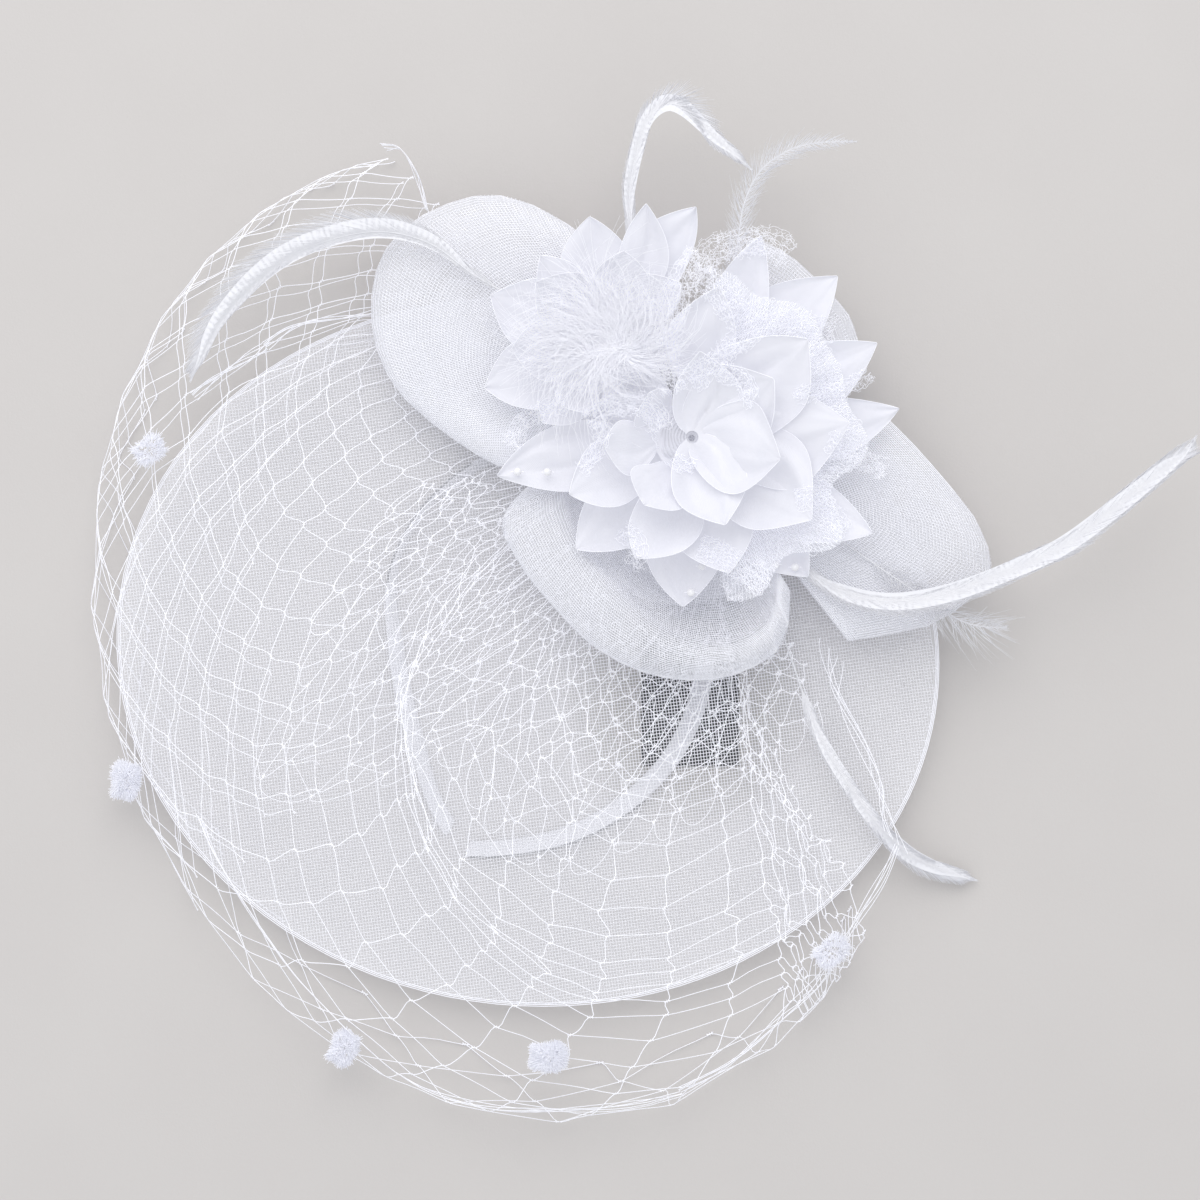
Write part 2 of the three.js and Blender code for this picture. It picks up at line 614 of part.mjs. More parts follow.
// Feathers: flat blades along a few stations; out is a share of the reach, rise a share of the plain rise
const FEATHERS = {
  feather_left: {
    from: BACK,
    reach: 150,
    width: 8,
    level: featherLevel,
    stations: [
      { angle: 150, out: 0.06, wide: 0.3 },
      { angle: 152.5, out: 0.34, wide: 0.35 },
      { angle: 150, out: 0.46, wide: 0.6 },
      { angle: 150.5, out: 0.54, wide: 0.8 },
      { angle: 153.5, out: 0.63, wide: 1 },
      { angle: 159.4, out: 0.73, wide: 1 },
      { angle: 164.8, out: 0.81, wide: 1 },
      { angle: 170.5, out: 0.875, wide: 0.9 },
      { angle: 175.5, out: 0.93, wide: 0.7 },
      { angle: 179.3, out: 0.96, wide: 0.5 },
      { angle: 184, out: 1, wide: 0.15 },
    ],
  },
  feather_top_curl: {
    from: BACK,
    reach: 89,
    width: 5,
    level: featherLevel,
    steep: 1.8,
    stations: [
      { angle: 80, out: 0.105, wide: 0.5 },
      { angle: 82, out: 0.427, wide: 0.7 },
      { angle: 85, out: 0.607, wide: 0.9 },
      { angle: 84, out: 0.773, wide: 1 },
      { angle: 82.4, out: 0.918, wide: 1 },
      { angle: 78.4, out: 1.003, wide: 1.3 },
      { angle: 73.4, out: 0.992, wide: 1.2 },
      { angle: 67.3, out: 0.943, wide: 0.9 },
      { angle: 61, out: 0.916, wide: 0.6 },
      { angle: 53, out: 0.896, wide: 0.2 },
    ],
  },
  feather_top_fluffy: {
    from: FRONT,
    reach: 120,
    width: 9,
    level: featherLevel,
    stations: [
      { angle: 80, out: 0.08, wide: 0.3 },
      { angle: 77, out: 0.433, wide: 0.5 },
      { angle: 76.7, out: 0.588, wide: 0.9 },
      { angle: 77.5, out: 0.692, wide: 1 },
      { angle: 76, out: 0.8, wide: 1 },
      { angle: 73, out: 0.867, wide: 0.8 },
      { angle: 69, out: 0.925, wide: 0.6 },
      { angle: 61, out: 0.997, wide: 0.2 },
    ],
  },
  feather_right: {
    from: FRONT,
    reach: 177.5,
    width: 7,
    level: featherLevel,
    stations: [
      { angle: -48, out: 0.056, wide: 0.4 },
      { angle: -50, out: 0.315, wide: 0.6 },
      { angle: -43, out: 0.472, wide: 0.9 },
      { angle: -33, out: 0.58, wide: 1 },
      { angle: -23, out: 0.682, wide: 1 },
      { angle: -17, out: 0.761, wide: 1 },
      { angle: -10, out: 0.845, wide: 1 },
      { angle: -4, out: 0.935, wide: 0.8 },
      { angle: -2, out: 0.978, wide: 0.5 },
      { angle: 0, out: 1, wide: 0.15 },
    ],
  },
  feather_lower: {
    from: FRONT,
    reach: 188.4,
    width: 5,
    steep: 0,
    level: cupHeight(-64.7 + 360, CUP_ROLL.at(-1).up) - GAP - CLOTH / 2,
    stations: [
      { angle: -64.7, out: 0.372, wide: 0.5 },
      { angle: -65, out: 0.43, wide: 0.7 },
      { angle: -66.3, out: 0.536, wide: 0.8 },
      { angle: -66.5, out: 0.619, wide: 0.9 },
      { angle: -65.6, out: 0.709, wide: 1 },
      { angle: -64.3, out: 0.801, wide: 1.1, sink: 0.1 },
      { angle: -62.6, out: 0.878, wide: 1.3, sink: 0.35 },
      { angle: -60.5, out: 0.931, wide: 1.1, sink: 0.6 },
      { angle: -57, out: 1, wide: 0.3, sink: 0.9 },
    ],
  },
  feather_right_fluffy: {
    from: FRONT,
    reach: 130,
    width: 13,
    level: loopTop + CLOTH + GAP,
    steep: 0,
    stations: [
      { angle: -34.3, out: 0.485, wide: 0.3 },
      { angle: -34.4, out: 0.6, wide: 0.6 },
      { angle: -34.4, out: 0.705, wide: 0.9 },
      { angle: -34.2, out: 0.869, wide: 1 },
      { angle: -33, out: 0.94, wide: 0.8 },
      { angle: -31, out: 1, wide: 0.3 },
    ],
  },
};

function featherGeometry({ from, reach, width, level, steep = 1, stations }) {
  const start = stations[0].out * reach;
  const middle = stations.map(({ angle, out, sink }) => {
    const rise = steep * FEATHER_RISE * (out * reach - start);
    return polar(from, angle, out * reach, mix(level + rise, CLOTH / 2, sink ?? 0));
  });
  const line = new THREE.CatmullRomCurve3(middle);
  const rows = stations.map(({ wide }, i) => {
    const t = i / (stations.length - 1);
    const across = line.getTangent(t).setZ(0).normalize().cross(UP).multiplyScalar((width * wide) / 2);
    const at = line.getPoint(t);
    return [at.clone().sub(across), at.clone().add(across)];
  });
  return sheet(rows);
}

// Pearls, each just above a petal; along and side are shares of the petal's length and half width
const PEARLS = [
  { petal: FRONT_LOWER[0], along: 0.5, side: 0.5 },
  { petal: FRONT_LOWER[0], along: 0.7, side: 0.2 },
  { petal: FRONT_LOWER[0], along: 0.88, side: 0 },
  { petal: FRONT_LOWER[2], along: 0.5, side: 0.6 },
  { petal: FRONT_LOWER[2], along: 0.7, side: 0.45 },
  { petal: FRONT_LOWER[2], along: 0.9, side: 0.3 },
  { petal: FRONT_LOWER[3], along: 0.8, side: -0.6 },
  { petal: FRONT_LOWER[3], along: 0.9, side: -0.2 },
];
const petalWide = curve(PETAL_OUTLINE, 'along', 'wide', THREE.LinearInterpolant);

function pearlGeometry({ petal, along, side }) {
  const [middle, edge] = [0, Math.sign(side) || 1].map((at) =>
    petalPoint(FRONT, hubLevel(HUB.first), FRONT_PETALS.lower, petal, along, at, petalWide(along)),
  );
  const seat = middle.lerp(edge, Math.abs(side));
  const above = (CLOTH / 2 + GAP + PEARL) / Math.cos(Math.atan(CUPPING)) / Math.cos(radians(petal.lift));
  return new THREE.SphereGeometry(PEARL, 10, 5).translate(seat.x, seat.y, seat.z + above);
}

// The fascinator, from the table up
piece('hair_clip', clipGeometry(), LACQUER);
piece('headband', bandGeometry(), RIBBON);
piece('base_disc', upright(BASE.radius, BASE.thickness, BASE, baseBottom, 40), FELT);
piece('crin_disc', discGeometry(), CRIN);
piece('veil_net', netGeometry(), MESH);
DOTS.forEach((dot, i) => piece(`veil_dot_${i + 1}`, dotGeometry(dot), CHENILLE));
piece('crin_loop_upper_left', loopGeometry(UPPER_LEFT, LOOP_REACH.upperLeft, 12), CRIN);
piece('crin_loop_lower', cupGeometry(), CRIN);
piece('crin_loop_right', loopGeometry(RIGHT, LOOP_REACH.right, 11), CRIN);
piece('crin_loop_top', loopGeometry(TOP, LOOP_REACH.top, 7), CRIN);

const frontTop = hubLevel(HUB.third) + HUB.cap;
const backTop = hubLevel(BACK_HUB.second) + BACK_HUB.cap;
const backBottom = loopTop + CLOTH / 2 + GAP;
piece('flower_core_front', upright(FRONT.radius, frontTop - coreBottom, FRONT, coreBottom), SATIN);
piece('flower_core_back', upright(BACK.radius, backTop - backBottom, BACK, backBottom), SATIN);
piece('front_petals_lower', layerGeometry(FRONT, HUB.first, FRONT_PETALS.lower, FRONT_LOWER), SATIN);
piece('front_tulle_frill', frillGeometry(hubLevel(HUB.frill)), TULLE);
piece('front_petals_middle', layerGeometry(FRONT, HUB.second, FRONT_PETALS.middle, FRONT_MIDDLE), SATIN);
piece('front_petals_upper', layerGeometry(FRONT, HUB.third, FRONT_PETALS.upper, FRONT_UPPER), SATIN);
piece('back_petals_lower', layerGeometry(BACK, BACK_HUB.first, BACK_PETALS.lower, BACK_LOWER), SATIN);
piece('back_petals_upper', layerGeometry(BACK, BACK_HUB.second, BACK_PETALS.upper, BACK_UPPER), SATIN);
piece('feather_fluff', fluffGeometry(backTop + GAP), DOWN);
Object.entries(FEATHERS).forEach(([name, feather]) => piece(name, featherGeometry(feather), DOWN));
PEARLS.forEach((pearl, i) => piece(`pearl_${i + 1}`, pearlGeometry(pearl), NACRE));

export default fascinator;
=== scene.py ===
# %% [markdown]
# # A white fascinator, dressed in Blender
# The object is an oval of sheer crinoline on a ribbon headband and a black clip. It carries four
# crinoline loops, a puffed diamond net with chenille dots, two cloth flowers, feathers and pearls.
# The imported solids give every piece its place. They are plain, so this script dresses them: threads
# for the crinoline and the net, barbs for the feathers, thin cupped cloth for the petals.

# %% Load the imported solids
import bpy
import numpy as np
from mathutils.bvhtree import BVHTree
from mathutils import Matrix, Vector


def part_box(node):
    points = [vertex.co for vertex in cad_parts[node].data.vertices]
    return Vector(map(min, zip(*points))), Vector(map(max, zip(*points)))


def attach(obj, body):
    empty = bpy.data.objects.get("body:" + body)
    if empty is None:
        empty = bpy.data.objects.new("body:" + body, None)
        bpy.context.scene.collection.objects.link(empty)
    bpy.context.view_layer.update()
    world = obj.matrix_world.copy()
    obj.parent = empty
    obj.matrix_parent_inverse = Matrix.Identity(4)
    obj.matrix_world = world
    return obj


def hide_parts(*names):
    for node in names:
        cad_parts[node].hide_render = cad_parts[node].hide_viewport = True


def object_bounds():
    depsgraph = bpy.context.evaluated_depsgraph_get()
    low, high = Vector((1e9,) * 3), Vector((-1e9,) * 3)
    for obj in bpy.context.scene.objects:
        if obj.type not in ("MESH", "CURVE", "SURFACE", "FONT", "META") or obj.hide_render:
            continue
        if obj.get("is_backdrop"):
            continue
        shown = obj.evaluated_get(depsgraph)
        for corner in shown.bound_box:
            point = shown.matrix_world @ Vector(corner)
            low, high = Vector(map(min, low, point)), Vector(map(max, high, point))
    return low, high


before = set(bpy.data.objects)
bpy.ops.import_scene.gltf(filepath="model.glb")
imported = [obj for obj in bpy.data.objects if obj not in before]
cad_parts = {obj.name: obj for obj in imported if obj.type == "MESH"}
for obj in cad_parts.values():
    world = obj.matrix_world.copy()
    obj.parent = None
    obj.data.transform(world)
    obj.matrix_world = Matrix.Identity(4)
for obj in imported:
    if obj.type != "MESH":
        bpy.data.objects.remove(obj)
cad_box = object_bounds()
MM = 0.001
print(len(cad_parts), "solids, box", [round(float(x) / MM, 1) for corner in cad_box for x in corner])

# %% [markdown]
# ## Camera, light and table
# The photograph looks straight down from far away, so a long lens 2 m above the middle keeps the
# heights from spreading. Its light is high and soft from the top of the picture, and shadows are hardly
# seen. A pale surround and one very wide lamp give that without hiding the threads in contrast.

# %% Camera straight above the middle of the picture
MIDDLE = (-32.4, 21.2)
HEIGHT = 2000  # mm above the table
ACROSS = 432  # mm of table in the picture
SENSOR = 36
scene = bpy.context.scene
lens = bpy.data.cameras.new("camera")
lens.sensor_width = SENSOR
lens.lens = SENSOR * HEIGHT / ACROSS
lens.clip_start = 0.1
lens.clip_end = 20
camera = bpy.data.objects.new("camera", lens)
camera.location = (MIDDLE[0] * MM, MIDDLE[1] * MM, HEIGHT * MM)
scene.collection.objects.link(camera)
scene.camera = camera
scene.view_settings.view_transform = "Standard"
print("lens", round(lens.lens, 1), "mm, the picture is", ACROSS, "mm wide on the table")

# %% Pale surround and one wide lamp
world = bpy.data.worlds.new("surround")
world.use_nodes = True
sky = world.node_tree.nodes["Background"].inputs
sky["Color"].default_value = (0.95, 0.97, 1.0, 1)
sky["Strength"].default_value = 0.92
scene.world = world
lamp = bpy.data.lights.new("window", "AREA")
lamp.shape = "DISK"
lamp.size = 2.6
lamp.energy = 26
lamp.color = (1.0, 0.975, 0.94)
window = bpy.data.objects.new("window", lamp)
window.location = (-0.3, 1.5, 1.7)
window.rotation_euler = (-window.location).to_track_quat("-Z", "Y").to_euler()
scene.collection.objects.link(window)
print("lamp", lamp.energy, "W,", lamp.size, "m across")

# %% [markdown]
# ## Shader sums as Python
# A finish is a small sum of noises. Writing each sum as nodes by hand is long, so one class wraps a
# socket and makes the Math nodes when Python adds or multiplies. Its add method makes any other node.

# %% A wrapped socket
class Wire:
    def __init__(self, tree, socket=None):
        self.tree = tree
        self.socket = socket

    def add(self, kind, settings=None, inputs=None, output=0):
        node = self.tree.nodes.new("ShaderNode" + kind)
        for name, value in (settings or {}).items():
            setattr(node, name, value)
        for name, value in (inputs or {}).items():
            if isinstance(value, Wire):
                self.tree.links.new(value.socket, node.inputs[name])
            else:
                node.inputs[name].default_value = value
        return Wire(self.tree, node.outputs[output])

    def maths(self, operation, first, second):
        return self.add("Math", {"operation": operation}, {0: first, 1: second})

    def __add__(self, other):
        return self.maths("ADD", self, other)

    def __mul__(self, other):
        return self.maths("MULTIPLY", self, other)

    def __sub__(self, other):
        return self.maths("SUBTRACT", self, other)

    def __rsub__(self, other):
        return self.maths("SUBTRACT", other, self)

    __radd__ = __add__
    __rmul__ = __mul__

    def colours(self, low, high):
        ends = {0: self, 6: (*low, 1), 7: (*high, 1)}
        return self.add("Mix", {"data_type": "RGBA"}, ends, 2)

    def place(self):
        return self.add("TexCoord", output="Object")

    def noise(self, size, detail=2):
        """Grey noise with lumps of that many millimetres"""
        inputs = {"Vector": self.place(), "Scale": 1 / (size * MM), "Detail": detail}
        return self.add("TexNoise", {"noise_dimensions": "4D"}, inputs)

    def bands(self, size, direction, distortion):
        """Soft stripes, one every size millimetres"""
        inputs = {"Vector": self.place(), "Scale": np.pi / 10 / (size * MM), "Distortion": distortion}
        return self.add("TexWave", {"bands_direction": direction}, inputs, 1)


def finish(name, constants, fed):
    """A material: constants sit on the shader's own sockets, fed(wire) gives what varies"""
    made = bpy.data.materials.new(name)
    made.use_nodes = True
    tree = made.node_tree
    shader = tree.nodes["Principled BSDF"]
    for socket, value in constants.items():
        shader.inputs[socket].default_value = value
    for socket, wire in fed(Wire(tree)).items():
        tree.links.new(wire.socket, shader.inputs[socket])
    return made


def relief(wire, height, depth):
    """Bump of that many millimetres"""
    return wire.add("Bump", None, {"Strength": 1, "Distance": depth * MM, "Height": height})


def varied(w, tone, low, high, rough, lumps, depth):
    """Colour and roughness that follow one tone, and relief that follows the lumps"""
    return {
        "Base Color": tone.colours(low, high),
        "Roughness": tone * rough[0] + rough[1],
        "Normal": relief(w, lumps, depth),
    }


# %% [markdown]
# ## Finishes
# Everything white here is a different white. Nylon threads are cool and smooth, satin is bright with soft
# creases that carry painted shade in their hollows, ribbon has a fine rib, felt and chenille scatter the
# light. Each finish varies in colour and roughness over millimetres, and its relief has the size of the real
# weave. White fibres also pass light on among themselves, which fills their shadows. Following that light
# would be slow, so a weak glow of the same colour stands for it.

# %% Finishes of the cloth
def thread_finish(w):
    tone = w.noise(6, 3)
    return varied(w, tone, (0.84, 0.845, 0.90), (0.93, 0.93, 0.97), (0.2, 0.3), w.noise(0.3), 0.05)


def fine_weave(w):
    return w.bands(0.7, "X", 0.4) * w.bands(0.9, "Y", 0.4)


def film_finish(w):
    weave = fine_weave(w)
    return {
        "Base Color": w.noise(20).colours((0.84, 0.85, 0.90), (0.94, 0.94, 0.97)),
        "Alpha": weave * 0.1 + 0.32,
        "Normal": relief(w, weave, 0.1),
    }


def disc_film_finish(w):
    """As the film, and open over the clip, where the photograph shows bare mesh"""
    out = w.add("VectorMath", {"operation": "DISTANCE"}, {0: w.place(), 1: (0, -0.017, 0.009)}, 1)
    ends = {"From Min": 0.024, "From Max": 0.046, "To Min": 0.0, "To Max": 0.335}
    closed = w.add("MapRange", None, {"Value": out, **ends})
    return {**film_finish(w), "Alpha": closed + fine_weave(w) * 0.06}


def satin_finish(w):
    crease = w.noise(9, 4)
    weave = w.bands(0.35, "DIAGONAL", 0.5)
    # The colour follows the creases, darker and bluer in their hollows: painted shade in the creases.
    darker, lighter = (0.485, 0.49, 0.545), (0.60, 0.595, 0.635)
    return varied(w, crease, darker, lighter, (0.3, 0.35), crease + weave * 0.06, 0.7)


def tulle_finish(w):
    mesh = w.add("TexVoronoi", {"feature": "DISTANCE_TO_EDGE"}, {"Vector": w.place(), "Scale": 1500})
    thread = w.maths("LESS_THAN", mesh, 0.12)
    return {
        "Base Color": w.noise(10).colours((0.86, 0.88, 0.97), (0.96, 0.96, 1.0)),
        "Alpha": thread * 0.12 + 0.2,
        "Normal": relief(w, thread, 0.1),
    }


def glow(strength, **more):
    """Light that white fibres pass on among themselves"""
    named = {name.replace("_", " "): value for name, value in more.items()}
    return {"Emission Color": (0.93, 0.94, 1.0, 1), "Emission Strength": strength, **named}


THREAD = finish("crinoline_thread", glow(0.1), thread_finish)
NET = finish("net_thread", glow(0.2), thread_finish)
LACE_THREAD = finish("lace_thread", glow(0.24), thread_finish)
FILM = finish("crinoline_film", glow(0.08, Roughness=0.45), film_finish)
DISC_FILM = finish("disc_film", glow(0.12, Roughness=0.45), disc_film_finish)
SATIN = finish("petal_satin", glow(0.27, Sheen_Weight=0.1, Sheen_Roughness=0.4), satin_finish)
TULLE = finish("tulle", glow(0.15, Roughness=0.7), tulle_finish)
print("cloth finishes:", THREAD.name, FILM.name, SATIN.name, TULLE.name)

# %% Finishes of the ribbon, felt, pile, feathers, pearls, lacquer and table
def soft_finish(low, high, size, depth):
    def fed(w):
        lumps = w.noise(size, 4)
        return varied(w, lumps, low, high, (0.2, 0.7), lumps, depth)
    return fed


def ribbon_finish(w):
    rib, tone = w.bands(0.5, "Z", 0.3), w.noise(8, 3)
    return varied(w, tone, (0.84, 0.84, 0.88), (0.93, 0.93, 0.96), (0.25, 0.35), rib + tone, 0.12)


def pearl_finish(w):
    tone = w.noise(1.5, 2)
    return varied(w, tone, (0.80, 0.79, 0.82), (0.94, 0.94, 0.96), (0.1, 0.12), w.noise(0.4), 0.02)


def lacquer_finish(w):
    wear = w.noise(5, 5)
    darker, lighter = (0.012, 0.012, 0.016), (0.035, 0.035, 0.04)
    return varied(w, wear, darker, lighter, (0.3, 0.22), w.noise(0.6), 0.03)


def table_finish(w):
    cloud = w.noise(60, 3) * 0.7 + w.noise(1.2, 3) * 0.3
    darker, lighter = (0.545, 0.520, 0.508), (0.600, 0.578, 0.563)
    return varied(w, cloud, darker, lighter, (0.2, 0.6), w.noise(0.8, 3), 0.05)


FELT_TONES = (0.74, 0.74, 0.76), (0.90, 0.90, 0.92)
PILE_TONES = (0.84, 0.85, 0.93), (0.96, 0.96, 1.0)
BARB_TONES = (0.72, 0.72, 0.765), (0.83, 0.83, 0.855)
DOWN_TONES = (0.84, 0.84, 0.90), (0.94, 0.94, 0.97)
FELT = finish("felt", {}, soft_finish(*FELT_TONES, 1.2, 0.3))
PILE = finish("chenille_pile", glow(0.12, Sheen_Weight=0.3), soft_finish(*PILE_TONES, 2, 0.1))
BARB = finish("feather_barb", glow(0.05), soft_finish(*BARB_TONES, 4, 0.05))
DOWN = finish("down", glow(0.14, Sheen_Weight=0.2), soft_finish(*DOWN_TONES, 4, 0.05))
RIBBON = finish("ribbon", {"Sheen Weight": 0.2}, ribbon_finish)
PEARL = finish("pearl", {"Coat Weight": 0.8, "Coat Roughness": 0.08}, pearl_finish)
LACQUER = finish("black_lacquer", {"Coat Weight": 0.4}, lacquer_finish)
TABLE = finish("table", {}, table_finish)
print("other finishes:", *(used.name for used in (FELT, PILE, BARB, DOWN, RIBBON, PEARL, LACQUER, TABLE)))

# %% [markdown]
# ## Tables, outlines and meshes
# The solids were shaped from short tables, so the dressed pieces follow the same tables and sit in the
# same places. One function reads a table smoothly, one turns angles into places, one finds an oval's
# rim, and three more turn points into meshes.

# %% Reading tables and finding places
def curve(table, at):
    """Smooth value of a table's second column at the first"""
    x, y = np.array(table, float).T
    slope = np.gradient(y, x)
    at = np.clip(at, x[0], x[-1])
    i = np.clip(np.searchsorted(x, at) - 1, 0, len(x) - 2)
    step = x[i + 1] - x[i]
    t = (at - x[i]) / step
    ends = (1 + 2 * t) * (1 - t) ** 2 * y[i] + t * t * (3 - 2 * t) * y[i + 1]
    return ends + step * (t * (1 - t) ** 2 * slope[i] + t * t * (t - 1) * slope[i + 1])


def straight(table, at):
    x, y = np.array(table, float).T
    return np.interp(at, x, y)


def mix(low, high, share):
    return low + (high - low) * share


def smooth(share):
    share = np.clip(share, 0, 1)
    return share * share * (3 - 2 * share)


def polar(centre, angle, radius, z):
    turn = np.radians(angle)
    x, y = centre[0] + radius * np.cos(turn), centre[1] + radius * np.sin(turn)
    return np.stack(np.broadcast_arrays(x, y, z), -1)


def to_rim(start, angle, oval):
    """Distance from start to the rim of oval (x, y, long, short, turn)"""
    turn = np.radians(oval[4])
    cosine, sine = np.cos(turn), np.sin(turn)
    x, y = start[0] - oval[0], start[1] - oval[1]
    at = np.array([x * cosine + y * sine, y * cosine - x * sine]) / (oval[2], oval[3])
    aim = np.radians(angle) - turn
    way = np.stack([np.cos(aim) / oval[2], np.sin(aim) / oval[3]], -1)
    a, b, c = (way ** 2).sum(-1), way @ at, at @ at - 1
    return (-b + np.sqrt(b * b - a * c)) / a


def lengths(line):
    """How far each point of a line is along it"""
    return np.concatenate([[0], np.cumsum(np.linalg.norm(np.diff(line, axis=0), axis=1))])


def ripple(a, b, seed):
    """Smooth wandering between -1 and 1"""
    waves = np.random.default_rng(seed).uniform(0.6, 1.7, (4, 3))
    return sum(np.sin(p * a + q * b + 9 * r) for p, q, r in waves) / 2.4


ORIGIN = (690, 659)
PIXEL = 0.36


def from_picture(u, v, z=0):
    """Place in millimetres of a spot of the picture, at height z"""
    x, y = (u - ORIGIN[0]) * PIXEL, (ORIGIN[1] - v) * PIXEL
    near = 1 - z / HEIGHT
    return np.stack(np.broadcast_arrays(mix(MIDDLE[0], x, near), mix(MIDDLE[1], y, near), z), -1)


print("middle of a table of 0, 1, 4 at 0.5:", float(curve([(0, 0), (1, 1), (2, 4)], 0.5)))

# %% Points into meshes
def plain_mesh(name, points, faces, finish_used, smooth_faces=True):
    mesh = bpy.data.meshes.new(name)
    mesh.from_pydata((np.asarray(points).reshape(-1, 3) * MM).tolist(), [], faces)
    mesh.polygons.foreach_set("use_smooth", [smooth_faces] * len(mesh.polygons))
    mesh.materials.append(finish_used)
    piece = bpy.data.objects.new(name, mesh)
    scene.collection.objects.link(piece)
    return piece


def grid_faces(rows, columns, first=0, closed_rows=False, closed_columns=False):
    """Quads of a grid of points, numbered row by row from first"""
    faces = []
    for i in range(rows if closed_rows else rows - 1):
        here, after = first + i * columns, first + (i + 1) % rows * columns
        for j in range(columns if closed_columns else columns - 1):
            right = (j + 1) % columns
            faces.append([here + j, here + right, after + right, after + j])
    return faces


def sheets(name, grids, finish_used, closed_rows=False):
    """One piece from several grids of points"""
    faces, count = [], 0
    for grid in grids:
        faces += grid_faces(*grid.shape[:2], count, closed_rows)
        count += grid.shape[0] * grid.shape[1]
    return plain_mesh(name, np.concatenate([grid.reshape(-1, 3) for grid in grids]), faces, finish_used)


def settle(piece, slot, *nodes):
    """The piece rides on the one body and stands for these solids; slot is not used"""
    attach(piece, "root")
    if nodes:
        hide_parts(*nodes)
    triangles = sum(len(face.vertices) - 2 for face in piece.data.polygons)
    print(f"{piece.name}: {triangles} triangles")
    return piece


# %% [markdown]
# ## A tree for every thread
# Crinoline, net, barbs, down and pile are all thin round things along lines. Geometry Nodes makes each
# from its line: the line carries its own thickness, and the tree sweeps a ring of few sides along it.
# The result becomes a plain mesh, because the export keeps no modifiers.

# %% The tree: lines with a thickness become threads
tree = bpy.data.node_groups.new("threads", "GeometryNodeTree")
sockets = {}
for title, kind in (("Lines", "Geometry"), ("Sides", "Int"), ("Finish", "Material")):
    socket = tree.interface.new_socket(title, in_out="INPUT", socket_type="NodeSocket" + kind)
    sockets[title] = socket.identifier
tree.interface.new_socket("Threads", in_out="OUTPUT", socket_type="NodeSocketGeometry")
given = tree.nodes.new("NodeGroupInput")
to_curve = tree.nodes.new("GeometryNodeMeshToCurve")
named = tree.nodes.new("GeometryNodeInputNamedAttribute")
named.inputs["Name"].default_value = "thick"
ring = tree.nodes.new("GeometryNodeCurvePrimitiveCircle")
ring.inputs["Radius"].default_value = 1
sweep = tree.nodes.new("GeometryNodeCurveToMesh")
sweep.inputs["Fill Caps"].default_value = True
realize = tree.nodes.new("GeometryNodeRealizeInstances")
paint = tree.nodes.new("GeometryNodeSetMaterial")
result = tree.nodes.new("NodeGroupOutput")
for start, end in (
    (given.outputs["Lines"], to_curve.inputs["Mesh"]),
    (to_curve.outputs["Curve"], sweep.inputs["Curve"]),
    (given.outputs["Sides"], ring.inputs["Resolution"]),
    (ring.outputs["Curve"], sweep.inputs["Profile Curve"]),
    (named.outputs["Attribute"], sweep.inputs["Scale"]),
    (sweep.outputs["Mesh"], realize.inputs["Geometry"]),
    (realize.outputs["Geometry"], paint.inputs["Geometry"]),
    (given.outputs["Finish"], paint.inputs["Material"]),
    (paint.outputs["Geometry"], result.inputs["Threads"]),
):
    tree.links.new(start, end)
print("tree with", len(tree.nodes), "nodes")


# %% Threads along lines
def threads(name, lines, thick, finish_used, sides=3):
    """Round threads along lines of points; thick is a radius for all, or one for each point"""
    each = thick if isinstance(thick, list) else [thick] * len(lines)
    lines, each = zip(*[(line, size) for line, size in zip(lines, each) if len(line) > 1])
    sizes = np.array([len(line) for line in lines])
    ends = np.cumsum(sizes)
    index = np.arange(ends[-1])
    keep = np.ones(len(index), bool)
    keep[ends - 1] = False
    edges = np.stack([index[keep], index[keep] + 1], -1)
    mesh = bpy.data.meshes.new(name)
    mesh.from_pydata((np.concatenate(lines) * MM).tolist(), edges.tolist(), [])
    radii = np.concatenate([np.broadcast_to(size, count) for size, count in zip(each, sizes)])
    thickness = mesh.attributes.new("thick", "FLOAT", "POINT")
    thickness.data.foreach_set("value", (radii * MM).astype(np.float32))
    piece = bpy.data.objects.new(name, mesh)
    scene.collection.objects.link(piece)
    modifier = piece.modifiers.new("threads", "NODES")
    modifier.node_group = tree
    modifier[sockets["Sides"]] = sides
    modifier[sockets["Finish"]] = finish_used
    made = piece.evaluated_get(bpy.context.evaluated_depsgraph_get())
    piece.data = bpy.data.meshes.new_from_object(made)
    piece.modifiers.clear()
    piece.data.polygons.foreach_set("use_smooth", [True] * len(piece.data.polygons))
    if not piece.data.materials:
        piece.data.materials.append(finish_used)
    return piece


def signed_volume(mesh):
    place = np.empty(len(mesh.vertices) * 3)
    mesh.vertices.foreach_get("co", place)
    place = place.reshape(-1, 3)
    mesh.calc_loop_triangles()
    corners = np.array([t.vertices[:] for t in mesh.loop_triangles])
    a, b, c = (place[corners[:, k]] for k in range(3))
    return float((a * np.cross(b, c)).sum() / 6)


def lay(name, slot, node, lines, thick, used, sides=3):
    """Threads that are a piece of their own"""
    return settle(threads(name, lines, thick, used, sides), slot, node)


probe = threads("probe", [np.array([[0, 0, 0], [10.0, 0, 0]])], 1.0, THREAD, 6)
print("a thread faces outwards:", signed_volume(probe.data) > 0)
bpy.data.objects.remove(probe)

# %% [markdown]
# ## The table
# One wide plane, marked as stage because it isn't part of the object.

# %% Table
SIDE = 6000
corners = [(-SIDE, -SIDE, 0), (SIDE, -SIDE, 0), (SIDE, SIDE, 0), (-SIDE, SIDE, 0)]
table = plain_mesh("table", corners, [[0, 1, 2, 3]], TABLE, False)
table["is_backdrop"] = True
print("table", 2 * SIDE * MM, "m wide")

# %% [markdown]
# ## Heights and outlines shared by the pieces
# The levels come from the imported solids' boxes, and the outlines repeat the solids' tables.

